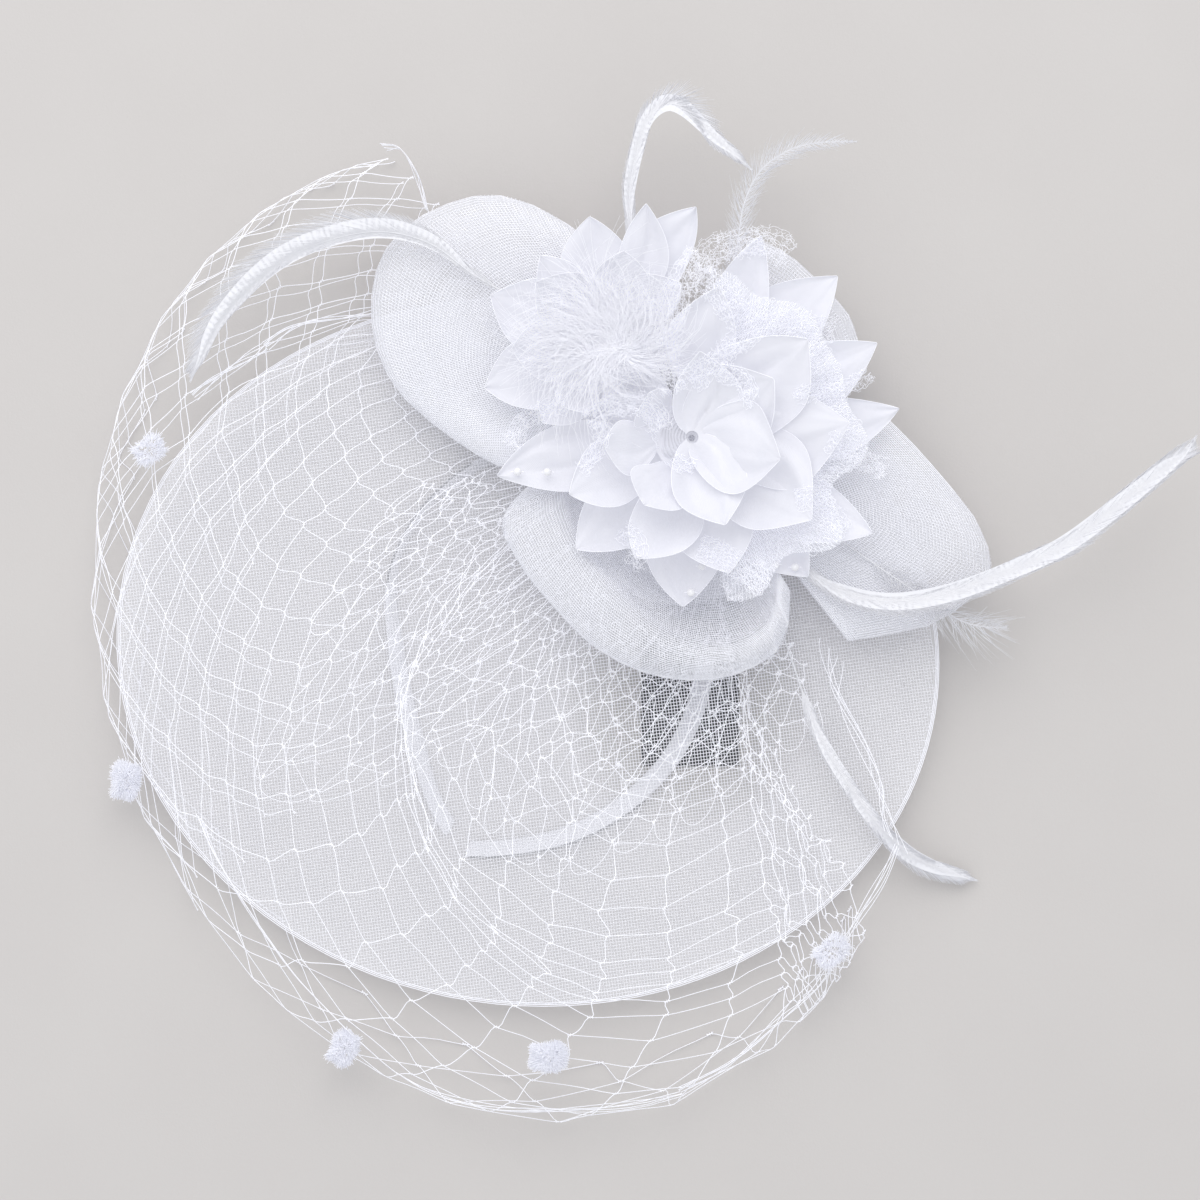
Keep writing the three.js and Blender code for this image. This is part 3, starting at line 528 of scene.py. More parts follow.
# %% Levels and outlines, in millimetres
CLOTH = 0.6
GAP = 0.3
levels = {name: [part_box(name)[k].z / MM for k in (0, 1)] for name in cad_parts}
disc_level = levels["base_disc"][1] + GAP + CLOTH
loop_floor = levels["crin_loop_top"][0] + CLOTH
loop_top = levels["crin_loop_top"][1] - CLOTH
loop_height = loop_top - loop_floor
BASE = (-3.6, 57.2)
FRONT = (0, 78.5)
BACK = (-27, 109.5)
DISC = (-58.3, 2.5, 148, 127, -7)
VEIL = (-64.8, 8.6, 177, 145, 110)
print("disc at", round(disc_level, 2), "loops from", round(loop_floor, 2), "to", round(loop_top, 2))

# %% [markdown]
# ## The crinoline disc
# The disc is a stiff oval of crinoline: smooth nylon threads about 1 mm apart both ways, nearly square
# to each other, with a hem round the rim. An image of a weave would be flat and would blur, so every
# thread is modelled. A thin film between them stands for the finest strands.

# %% Height of the disc anywhere on it
HEM = 1.2
FLAT = 40
RISE = (45, 62)


def disc_height(angle, share):
    away = (angle - RISE[0] + 180) % 360 - 180
    down = np.cos(np.pi / 2 * np.minimum(np.abs(away) / RISE[1], 1)) ** 2
    rim = mix(disc_level - 0.8 + 0.35 * np.sin(np.radians(7 * angle)), HEM, down)
    return mix(disc_level, rim, smooth(share / 0.96))


def on_disc(x, y):
    """Points of the plan lifted onto the disc"""
    angle = np.degrees(np.arctan2(y - BASE[1], x - BASE[0]))
    out = np.hypot(x - BASE[0], y - BASE[1])
    share = np.clip((out - FLAT) / (to_rim(BASE, angle, DISC) - FLAT), 0, 1)
    return np.stack([x, y, disc_height(angle, share)], -1)


ACROSS_DISC = 160
FARTHEST = 150  # of a thread from the middle
PROBES = 182
EVERY = 4
SAG = 3


def disc_lines(aim, apart):
    """Straight threads across the disc at that angle, bent a little as real ones are"""
    way = np.array([np.cos(np.radians(aim)), np.sin(np.radians(aim))])
    side = np.array([-way[1], way[0]])
    turn = np.radians(DISC[4])
    upright = np.array([[np.cos(turn), -np.sin(turn)], [np.sin(turn), np.cos(turn)]])
    lines = []
    for offset in np.arange(-FARTHEST, FARTHEST, apart):
        start = np.array(DISC[:2]) + side * offset
        far = np.linspace(-ACROSS_DISC, ACROSS_DISC, PROBES)
        flat = (start + far[:, None] * way - DISC[:2]) @ upright
        inside = np.flatnonzero((flat[:, 0] / DISC[2]) ** 2 + (flat[:, 1] / DISC[3]) ** 2 < 0.985)
        if len(inside) > EVERY:
            first, last = inside[[0, -1]]
            far = np.linspace(far[first], far[last], max(3, int((last - first) / EVERY)))
            spots = start + far[:, None] * way
            edge = np.sin(np.linspace(0, np.pi, len(far)))[:, None]
            bend = ripple(spots[:, 0] / 45, spots[:, 1] / 45, 3)[:, None] * SAG
            lines.append(on_disc(*(spots + side * edge * bend).T))
    return lines


print("height at the rim, 45 and 225 degrees:", [round(float(disc_height(a, 1)), 1) for a in (45, 225)])

# %% Film, threads and hem of the disc
angles = np.linspace(0, 360, 97)[:-1]
rim = to_rim(BASE, angles, DISC)
rings = []
for share in (0.02, 0.3, 0.5, 0.7, 0.85, 0.95, 0.995):
    down = np.clip((share * rim - FLAT) / (rim - FLAT), 0, 1)
    rings.append(polar(BASE, angles, mix(0, rim, share), disc_height(angles, down)))
disc_film = sheets("crinoline_disc_film", [np.stack(rings, 1)], DISC_FILM, True)
settle(disc_film, "crinoline", "crin_disc")
CLIP_SPOT = (0, -17)
CLIP_WIDE = 30


def disc_thickness(lines, thin, thick):
    """Radius along each line: the weave is closer over the clip, where nothing has stretched it"""
    radii = []
    for line in lines:
        away = ((line[:, :2] - CLIP_SPOT) ** 2).sum(1)
        radii.append(thin + (thick - thin) * np.exp(-away / CLIP_WIDE ** 2))
    return radii


WEAVE = {"threads": (8, 1.15, 0.118, 0.2), "cross_threads": (97, 1.05, 0.10, 0.19)}
for name, (aim, apart, thin, thick) in WEAVE.items():
    lines = disc_lines(aim, apart)
    radii = disc_thickness(lines, thin, thick)
    lay("crinoline_disc_" + name, "crinoline", "crin_disc", lines, radii, THREAD)
angles = np.linspace(0, 360, 145)
hem = [polar(BASE, angles, to_rim(BASE, angles, DISC) - inwards, disc_height(angles, 1) + 0.1)
       for inwards in (0.4, 1.0, 1.6)]
lay("crinoline_disc_hem", "crinoline", "crin_disc", hem, 0.16, THREAD, 6)

# %% [markdown]
# ## Crinoline loops
# Three loops are bands of crinoline folded back over themselves, and the lower one is a cup with a
# rolled rim. A point on a loop has an angle round the flower and a place along the fold, so threads
# along the band and threads across it are lines of constant angle and of constant fold. Where two
# layers lie over each other, their threads cross and give the shimmer that real crinoline has.

# %% Places on the folded loops
INNER = 9.3
LOOP_OUT = list(enumerate([0, 0.45, 0.83, 0.97, 1, 0.97, 0.83, 0.56, 0.24, 0]))
LOOP_UP = list(enumerate([0, 0, 0.06, 0.27, 0.5, 0.74, 0.97, 1, 1, 0.9]))
UPPER_LEFT = [(116, 0.6), (128, 0.86), (137, 0.95), (148, 1), (158, 0.96), (169, 0.85), (180, 0.66),
              (188, 0.54)]
RIGHT = [(-52, 0.78), (-45, 0.84), (-38, 0.92), (-31, 0.97), (-24, 1), (-17, 0.92), (-9, 0.78), (2, 0.64),
         (12, 0.55)]
TOP = [(24, 0.88), (37, 0.95), (50, 0.96), (62, 0.99), (74, 1)]


def loop_place(outline, reach):
    def place(angle, fold):
        out = mix(INNER, reach * curve(outline, angle), curve(LOOP_OUT, fold))
        return polar(FRONT, angle, out, loop_floor + loop_height * curve(LOOP_UP, fold))
    return place


# %% Places on the cup
CUP_ANGLES = (191, 202, 215, 230, 247, 265, 283, 295, 303)
OUTER = list(zip(CUP_ANGLES, (0.56, 0.83, 0.87, 0.89, 0.95, 0.99, 0.98, 0.91, 0.75)))
CREST = list(zip(CUP_ANGLES, (0.49, 0.57, 0.62, 0.66, 0.72, 0.82, 0.86, 0.79, 0.64)))
HIGH = list(zip(CUP_ANGLES, (0.5, 0.66, 0.8, 0.92, 1, 1, 1, 1, 0.9)))
CUP_OUT = list(enumerate([0, 0.45, 0.75, 0.92, 1]))
CUP_UP = list(enumerate([0, 0.03, 0.28, 0.72, 1, 0.98, 0.68, 0.3]))
ROLL_OUT = list(enumerate([0, 0.5, 0.92, 1]))
CUP_REACH = 86.5
CUP_HEIGHT = 22
UPPER_LEFT_REACH, RIGHT_REACH, TOP_REACH = 128, 117, 75


def cup_place(angle, fold):
    crest = CUP_REACH * curve(CREST, angle)
    wall = mix(INNER, crest, curve(CUP_OUT, fold))
    roll = mix(crest, CUP_REACH * curve(OUTER, angle), curve(ROLL_OUT, np.maximum(fold - 4, 0)))
    up = CUP_HEIGHT * curve(HIGH, angle) * curve(CUP_UP, fold)
    return polar(FRONT, angle, np.where(fold < 4, wall, roll), loop_floor + up)


print("cup rim height", round(float(cup_place(np.array(250.0), np.array(4.0))[2]), 1))


# %% Weaving a band
def along_fold(place, middle, folds):
    """Fold values and the length of band that each has run"""
    at = np.linspace(0, folds, 240)
    return at, lengths(place(np.full(240, middle), at))


def weave(place, span, folds, apart, skew):
    """Threads along the band and across it, that many millimetres apart at its widest"""
    at, run = along_fold(place, sum(span) / 2, folds)
    some = np.linspace(0, folds, 9)
    widest = max(np.linalg.norm(place(np.full(9, a), some) - (*FRONT, loop_floor), axis=1).max()
                 for a in np.linspace(*span, 7))
    count = int(np.radians(span[1] - span[0]) * widest / apart[0])
    long_fold = np.interp(np.linspace(0, run[-1], int(run[-1] / 6)), run, at)
    lines = []
    for start in np.linspace(span[0] - abs(skew), span[1] + abs(skew), count):
        angle = start + skew * (long_fold / folds - 0.5) + 0.25 * ripple(long_fold, start / 5, 5)
        inside = (angle > span[0]) & (angle < span[1])
        lines.append(place(angle[inside], long_fold[inside]))
    turns = np.linspace(*span, max(6, int(np.radians(span[1] - span[0]) * widest / 8)))
    for length in np.arange(apart[1], run[-1], apart[1]):
        wander = 0.5 * ripple(turns / 9, length / 15, 6)
        lines.append(place(turns, np.clip(np.interp(length + wander, run, at), 0, folds)))
    return lines


def selvedge(place, span, folds, rows, apart):
    """Close threads along both cut edges of the band"""
    at = np.linspace(0, folds, 60)
    lines = []
    for edge, inwards in ((span[0], 1), (span[1], -1)):
        radius = np.linalg.norm((place(np.full(60, edge), at) - (*FRONT, 0))[:, :2], axis=1)
        for row in range(rows):
            lines.append(place(edge + inwards * np.degrees(row * apart / np.maximum(radius, 15)), at))
    return lines


def band_size(place, span, folds):
    """Width of the band at the turned edge and its length along the fold, in metres"""
    turned = place(np.linspace(*span, 60), np.full(60, folds * 0.45))
    wide = np.linalg.norm(np.diff(turned, axis=0), axis=1).sum()
    return round(wide * MM, 3), round(along_fold(place, sum(span) / 2, folds)[1][-1] * MM, 3)


def film(name, place, span, folds):
    turns, at = np.meshgrid(np.linspace(*span, 25), np.linspace(0, folds, 49))
    return sheets(name, [place(turns, at)], FILM)


# %% The four loops
LOOPS = {
    "upper_left": (loop_place(UPPER_LEFT, UPPER_LEFT_REACH), (116, 188), 9, (1.0, 1.3), 5),
    "right": (loop_place(RIGHT, RIGHT_REACH), (-52, 12), 9, (1.0, 1.3), -5),
    "top": (loop_place(TOP, TOP_REACH), (24, 74), 9, (1.0, 1.3), 5),
    "lower": (cup_place, (191, 303), 7, (0.9, 1.0), 8),
}
for name, (place, span, folds, apart, skew) in LOOPS.items():
    node = "crin_loop_" + name
    skin = settle(film(f"loop_{name}_film", place, span, folds), "crinoline", node)
    woven = [lay(f"loop_{name}_{part}", "crinoline", node, lines, thick, THREAD) for part, lines, thick in (
        ("threads", weave(place, span, folds, apart, skew), 0.14),
        ("selvedge", selvedge(place, span, folds, 6, 0.6), 0.13))]
    cloth = sum(face.area for face in skin.data.polygons)
    flat = band_size(place, span, folds)
    print(name, "is cut", flat, "m,", round(cloth * 1e6), "square mm, share of its rectangle",
          round(cloth / flat[0] / flat[1], 2))

# %% [markdown]
# ## The veil
# The veil is a net of two families of threads that meet in small knots: the threads run side by side
# for a moment, tied by a few bars. It hangs from under the loops, puffs up and curls under itself on
# the table. A lattice gives each knot its place. Columns go round the flower, rows are counted inwards
# from the border, so the cells keep their size and the net gathers towards the flower, as cloth does.

# %% The veil's surface
VEIL_SPAN = (137, 290)
TUCKED = [(0, 0), (1, 0.5), (2, 1), (10, 1)]
VEIL_OUT = list(enumerate([0, 0, 0, 0.15, 0.36, 0.58, 0.8, 0.95, 1, 0.995, 0.87]))
VEIL_RISE = list(enumerate([0, 0, 0, 0.47, 0.82, 1, 0.88, 0.53, 0.09, 0, 0]))
VEIL_DROP = list(enumerate([0, 0, 0, 0, 0, 0, 0, 0, 0, 0.57, 1]))
FULLNESS = [(0, 0.35), (0.22, 1), (0.8, 1), (1, 0.35)]
PUFF = 17
ROOT = 20
veil_level = disc_level + 1.5


def loops_reach(angle):
    over_cup = angle > 189.5
    return np.where(over_cup, CUP_REACH * curve(OUTER, angle), UPPER_LEFT_REACH * curve(UPPER_LEFT, angle))


def veil_place(across, row):
    """Across runs from 0 to 1 round the flower, row from 0 at the flower to 10 at the border"""
    angle = mix(*VEIL_SPAN, across)
    flat = loops_reach(angle[..., None] + np.linspace(-9, 9, 7)).max(-1) + 6
    outer = to_rim(FRONT, angle, VEIL)
    radius = mix(ROOT, flat, straight(TUCKED, row)) + (outer - flat) * curve(VEIL_OUT, row)
    level = mix(veil_level, CLOTH, curve(VEIL_DROP, row))
    return polar(FRONT, angle, radius, level + PUFF * straight(FULLNESS, across) * curve(VEIL_RISE, row))


SLICES = 121
veil_rows = np.linspace(10, 0, 241)
slices = veil_place(*np.broadcast_arrays(np.linspace(0, 1, SLICES)[:, None], veil_rows[None, :]))
runs = np.cumsum(np.linalg.norm(np.diff(slices, axis=1), axis=2), axis=1)
runs = np.concatenate([np.zeros((SLICES, 1)), runs], axis=1)
veil_chart = np.stack([[np.interp(np.arange(300), run, line[:, k]) for k in range(3)]
                       for run, line in zip(runs, slices)]).transpose(0, 2, 1)
veil_depth = runs[:, -1]
print("from the border to the flower:", round(veil_depth.min()), "to", round(veil_depth.max()), "mm")


def on_veil(across, inwards):
    """Point of the veil that far in along it from the border"""
    u = np.clip(across, 0, 1) * (SLICES - 1)
    v = np.clip(inwards, 0, 298)
    i, j = np.minimum(u.astype(int), SLICES - 2), v.astype(int)
    s, t = (u - i)[..., None], (v - j)[..., None]
    near = mix(veil_chart[i, j], veil_chart[i, j + 1], t)
    far = mix(veil_chart[i + 1, j], veil_chart[i + 1, j + 1], t)
    return mix(near, far, s)


# %% Threads and knots of a lattice
def unit(vector):
    return vector / max(float(np.linalg.norm(vector)), 1e-9)


def netting(knots, there, rng, side=0.3, run=1.3):
    """Thread lines and bars of a net; knots[i, k] is a place where i + k is even and there is true"""
    wide, deep = there.shape

    def at(i, k, other):
        inside = 0 <= i < wide and 0 <= k < deep and there[i, k]
        return knots[i, k] if inside else other

    lines, bars = [], []
    for sign in (1, -1):
        starts = [(i, k) for i in range(wide) for k in range(deep)
                  if there[i, k] and not (i and 0 <= k - sign < deep and there[i - 1, k - sign])]
        for i, k in starts:
            line, before = [], None
            while 0 <= i < wide and 0 <= k < deep and there[i, k]:
                spot = knots[i, k]
                along = unit(at(i + 2, k, spot) - at(i - 2, k, spot))
                upward = at(i, k + 2, spot) - at(i, k - 2, spot)
                beside = unit(upward - along * (upward @ along)) * sign
                if before is not None:
                    line.append((before + spot) / 2 + beside * rng.normal(0, 0.5))
                line += [spot - along * run - beside * side, spot + along * run + beside * side]
                for share in (-0.8, -0.1, 0.6) if sign > 0 else ():
                    middle = spot + along * run * share
                    bars.append(np.array([middle - beside * 0.55, middle + beside * 0.55]))
                before = spot
                i, k = i + 1, k + sign
            if len(line) > 3:
                lines.append(np.array(line))
    return lines, bars


def rounded(line, times):
    """The line with its corners cut that many times, as soft threads run"""
    for _ in range(times):
        cut = np.stack([mix(line[:-1], line[1:], 0.25), mix(line[:-1], line[1:], 0.75)], 1)
        line = np.concatenate([line[:1], cut.reshape(-1, 3), line[-1:]])
    return line


# %% The puffed net
rng = np.random.default_rng(11)
HALF_CELL = 7.6
COLUMNS, DEEP = 53, 30
IN_VIEW = 40  # columns from one edge of the fan to the other
turn, depth = np.meshgrid(np.arange(COLUMNS), np.arange(DEEP), indexing="ij")
lag = smooth((turn / IN_VIEW - 0.3) / 0.75)
across = (turn - lag * np.clip(depth - 8, -8, 12)) / IN_VIEW
spare = np.maximum(across - 0.93, 0)
across = np.minimum(across, 0.93) + np.minimum(spare, 0.4) * 0.17
across = across + rng.normal(0, 0.0028, across.shape)
inwards = depth * HALF_CELL * mix(1.0, 0.93, ripple(turn / 3, depth / 4, 2))
inwards = np.where(depth == 0, 0.5, inwards + rng.normal(0, 0.7, depth.shape))
knots = on_veil(across, inwards)
limit = np.interp(np.clip(across, 0, 1), np.linspace(0, 1, SLICES), veil_depth)
there = ((turn + depth) % 2 == 0) & (inwards < limit - 3) & (across > -0.001) & (spare < 0.4)
lines, bars = netting(knots, there, rng)
lay("veil_threads", "net", "veil_net", [rounded(line, 1) for line in lines], 0.19, NET)
lay("veil_knot_bars", "net", "veil_net", bars, 0.13, NET)

# %% The net's under layer
shifted = on_veil(np.clip(across + 0.011, 0, 1), inwards * 0.95 + 3) - (0, 0, 2.6)
shifted[..., 2] = np.maximum(shifted[..., 2], 0.5)
lines, _ = netting(shifted, there & (depth < 14) & (across < 0.56), rng)
lines = [np.maximum(rounded(line, 1), (-1000, -1000, 0.3)) for line in lines]
lay("veil_under_threads", "net", "veil_net", lines, 0.17, NET)
print(len(lines), "threads in the under layer")

# %% [markdown]
# ## Ruffle, selvedge and gathers of the veil
# The free end of the net is folded back over itself. Its second layer is a ruffle round the lower cup,
# with a scalloped selvedge of small loops, and where the net is drawn together its threads run in
# bundles. The ruffle is a second, looser lattice a little above the first. The bundles are lines laid
# on the veil along the paths that the picture shows.

# %% Height of the veil under a spot of the plan
slice_angles = mix(*VEIL_SPAN, np.linspace(0, 1, SLICES))
slice_radii = np.linalg.norm((slices - (*FRONT, 0))[:, 48:, :2], axis=2)
radius_steps = np.arange(0, 260)
veil_tops = np.stack([np.interp(radius_steps, r[::-1], z[::-1])
                      for r, z in zip(slice_radii, slices[:, 48:, 2])])
print("the net puffs up to", round(float(veil_tops.max()), 1), "mm")


def over_veil(x, y):
    angle = np.degrees(np.arctan2(y - FRONT[1], x - FRONT[0])) % 360
    i = np.rint(np.interp(angle, slice_angles, np.arange(SLICES))).astype(int)
    j = np.rint(np.clip(np.hypot(x - FRONT[0], y - FRONT[1]), 0, 259)).astype(int)
    return veil_tops[i, j]


# %% Ruffle round the cup
RUFFLE_SPAN = (190, 296)
RUFFLE_RIM = [(188, 92), (196, 112), (203, 133), (212, 158), (220, 196), (226, 170), (232, 138), (241, 146),
              (250, 158), (262, 140), (276, 122), (296, 104)]
RUFFLE_INNER = 74
WIDE, FOLDS = 47, 11
turn, depth = np.meshgrid(np.arange(WIDE), np.arange(FOLDS), indexing="ij")
angle = mix(*RUFFLE_SPAN, turn / (WIDE - 1)) + rng.normal(0, 0.7, turn.shape)
rim = curve(RUFFLE_RIM, angle)
radius = rim - (rim - RUFFLE_INNER) * (depth / (FOLDS - 1)) ** 0.9 + rng.normal(0, 2.4, turn.shape)
radius = np.where(depth == 0, rim, radius)
spots = polar(FRONT, angle, radius, 0)
lift = 1.2 + 2.2 * (1 + ripple(turn / 2.5, depth / 2, 4))
spots[..., 2] = np.maximum(over_veil(spots[..., 0], spots[..., 1]), veil_level) + lift
lines, bars = netting(spots, (turn + depth) % 2 == 0, rng, 0.25, 0.9)
for i in range(0, WIDE - 2, 2):
    start, end = spots[i, 0], spots[i + 2, 0]
    share = np.linspace(0, np.pi, 9)[:, None]
    outward = unit(((start + end) / 2 - (*FRONT, 0)) * (1, 1, 0))
    lines.append(mix(start, end, (1 - np.cos(share)) / 2) + outward * np.sin(share) * rng.uniform(6, 11))
lay("veil_ruffle", "net", "veil_net", [rounded(line, 2) for line in lines], 0.16, NET)
lay("veil_ruffle_bars", "net", "veil_net", bars, 0.12, NET)

# %% Bundles of threads along the border and the gathers
def picture_path(path, count, z=0):
    """Smooth line through spots of the picture, with count points"""
    fine = np.linspace(0, len(path) - 1, count)
    u, v = (curve(list(enumerate(values)), fine) for values in zip(*path))
    return fine, from_picture(u, v, z)


TIGHT, WIDE_APART = 1.5, 5
BUNDLES = [
    (TIGHT, [(205, 815), (222, 855), (245, 895), (272, 935), (302, 975), (330, 1005), (352, 1028)]),
    (TIGHT, [(385, 150), (402, 153), (414, 170), (422, 190), (430, 215)]),
    (WIDE_APART, [(895, 842), (884, 805), (868, 765), (852, 725), (838, 690), (830, 650)]),
    (TIGHT, [(365, 1040), (400, 1070), (440, 1090), (500, 1104), (560, 1107), (620, 1102), (680, 1088)]),
    (TIGHT, [(680, 1088), (730, 1060), (780, 1012), (820, 975), (850, 930), (875, 885), (893, 842)]),
    (TIGHT, [(270, 350), (300, 330), (340, 318), (378, 312)]),
    (TIGHT, [(200, 400), (225, 380), (250, 362), (270, 350)]),
]
lines = []
for spread, path in BUNDLES:
    fine, plan = picture_path(path, 8 * len(path))
    height = np.maximum(over_veil(plan[:, 0], plan[:, 1]), 0.6)
    for strand in range(5):
        wander = spread * ripple(fine * 0.9 + strand * 2, fine * 0.3, 10 + strand)
        lines.append(np.stack([plan[:, 0] + wander, plan[:, 1] - wander, height + 0.5 + 0.3 * strand], -1))
lay("veil_bundles", "net", "veil_net", lines, 0.18, NET)

# %% [markdown]
# ## Chenille dots
# Five tufts of chenille are tied on the veil. Chenille is short pile standing out of a twisted core,
# so each tuft is one or two thousand fibres that lean a little, close enough to read as a soft lump.

# %% Pile of the dots
DOTS = {"veil_dot_1": (30, 0.9, 800), "veil_dot_2": (80, 1.0, 2600), "veil_dot_3": (60, 0.95, 2000),
        "veil_dot_4": (0, 1.0, 2600), "veil_dot_5": (35, 1.0, 900)}
DOT_HALF = (6.2, 4.6, 2.9)
BOXY = 2.6  # 2 would be an egg, more is squarer


def node_box(name):
    low, high = (np.array(corner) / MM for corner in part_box(name))
    return (low + high) / 2, high - low


for name, (aim, size, fibres) in DOTS.items():
    centre = node_box(name)[0]
    away = rng.normal(size=(fibres, 3))
    away /= np.linalg.norm(away, ord=BOXY, axis=1)[:, None]
    cosine, sine = np.cos(np.radians(aim)), np.sin(np.radians(aim))
    stretch = np.array([[cosine, sine, 0], [-sine, cosine, 0], [0, 0, 1]])
    lumps = 1 + 0.12 * ripple(away[:, 0] * 4, away[:, 1] * 4, 7)[:, None]
    skin = (away * DOT_HALF * size * lumps) @ stretch
    lean = rng.normal(0, 0.5, (fibres, 3))
    outward = skin / np.linalg.norm(skin, axis=1)[:, None]
    tip = skin + outward * rng.uniform(0.1, 1.0, (fibres, 1)) + lean
    lines = [np.array([centre + s * 0.8, centre + t]) for s, t in zip(skin, tip)]
    lay("chenille_" + name[-1], "chenille", name, lines, [np.array([0.2, 0.09])] * fibres, PILE)

# %% [markdown]
# ## Headband, clip and base
# The headband is a thin strip wound with ribbon: each turn overlaps the last along a slanting edge.
# Ribbon turns repeat along a path, so they are worked into the strip's own section as small steps.
# A fine black thread along two stretches of the band's edge is painted shadow, where the band shades the
# table.
# The clip and the felt base already have their real shapes and only need their finishes.

# %% Headband wound with ribbon
BAND = (-51, 3.2)
BAND_REACH = [(-112, 1), (-103.6, 0.952), (-76.5, 0.842), (-56, 0.785), (-44, 0.765), (-14.7, 0.735),
              (18.2, 0.748), (38, 0.808), (59.5, 0.895), (80, 0.922), (95.1, 0.939), (124.4, 0.895),
              (147.7, 0.83), (180, 0.71), (217.6, 0.766), (241.2, 0.951)]
BAND_LEAN = [(-112, 58), (-103.6, 58), (-76.5, 62), (-56, 76), (-44, 87), (38, 88), (59.5, 76), (80, 58),
             (95.1, 38), (124.4, 12), (147.7, 15), (180, 50), (217.6, 55), (241.2, 62)]
BAND_LIFTED = [(-112, 0), (-76.5, 0), (-56, 0.6), (-44, 1), (38, 1), (59.5, 0.3), (80, 0), (241.2, 0)]
BAND_SIZE = (7, 1.6)
BAND_RADIUS = 77
HALF_WIDE, HALF_THICK = 3.45, 0.8
TURN = 6.5  # of ribbon along the strip
angle = np.linspace(-112, 241.2, 700)
lean = np.radians(straight(BAND_LEAN, angle))
rise = (BAND_SIZE[0] * np.cos(lean) + BAND_SIZE[1] * np.sin(lean)) / 2 + 1.3 * straight(BAND_LIFTED, angle)
centre = polar(BAND, angle, BAND_RADIUS * curve(BAND_REACH, angle), rise)
out = polar((0, 0), angle, 1, 0)
wide = out * np.sin(lean)[:, None] + np.array([0, 0, 1]) * np.cos(lean)[:, None]
thick = np.cross(np.gradient(centre, axis=0), wide)
thick /= np.linalg.norm(thick, axis=1)[:, None]
walked = lengths(centre)
section = np.array([(-1, -0.55), (-0.9, -1), (-0.3, -1), (0.3, -1), (0.9, -1), (1, -0.55),
                    (1, 0.55), (0.9, 1), (0.3, 1), (-0.3, 1), (-0.9, 1), (-1, 0.55)])
rings = []
for across, deep in section:
    phase = (walked + across * deep * 2.2) % TURN / TURN
    step = 1 - 0.16 * phase
    rings.append(centre + wide * across * HALF_WIDE + thick * (deep * HALF_THICK * step)[:, None])
rings = np.stack(rings, 1)
ends = [rings[k].mean(0, keepdims=True).repeat(len(section), 0)[None] for k in (0, -1)]
grid = np.concatenate([ends[0], rings, ends[1]])
faces = grid_faces(len(grid), len(section), closed_columns=True)
band = plain_mesh("headband_ribbon", grid, faces, RIBBON)
settle(band, "ribbon", "headband")
print("ribbon turns:", int(walked[-1] / TURN), "band faces outwards:", signed_volume(band.data) > 0)
# Painted shadow: black threads beside the band's edge on these stretches, where the band shades the table.
edge_shadow_spans = [(angle > low) & (angle < high) for low, high in ((-111, -57), (112, 158))]
bare = [centre[part] + wide[part] * (HALF_WIDE + 0.3) for part in edge_shadow_spans]
lay("headband_painted_edge_shadow", "lacquer", "headband", bare, 0.38, LACQUER, 6)

# %% Clip and base keep their solids
for node, used in (("hair_clip", LACQUER), ("base_disc", FELT)):
    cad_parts[node].data.materials.clear()
    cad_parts[node].data.materials.append(used)
    print(node, "is finished in", used.name)

# %% [markdown]
# ## Petals
# Each layer of a flower is one cut of thin satin with pointed petals. A lower petal is a leaf: narrow
# root, widest in its middle, drawn out to a tip. The petals round the heart are wrapped: they start
# wide at the heart's hole, overlap like a folded shawl and flare outwards. Thin cloth creases along
# lines that run out from the root, so every petal gets its own few creases, its own cup and its own
# bend to one side, all drawn from a fixed seed. From above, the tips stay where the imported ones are.
# The cut edges are sealed by heat, which leaves a fine bead, so a thread runs round each petal.

# %% One petal
HUB = 2.8
LEAF = [(0, 0.3), (0.2, 0.62), (0.42, 0.95), (0.56, 1), (0.74, 0.8), (0.88, 0.45), (0.96, 0.18), (1, 0.02)]
WRAPPED = [(0, 0.5), (0.15, 0.8), (0.35, 1), (0.5, 1.03), (0.68, 0.88), (0.84, 0.52), (0.94, 0.22), (1, 0.03)]
CREASES = 6
FRONT_RADIUS, BACK_RADIUS = 9, 8
HEART_TOP = 43.9


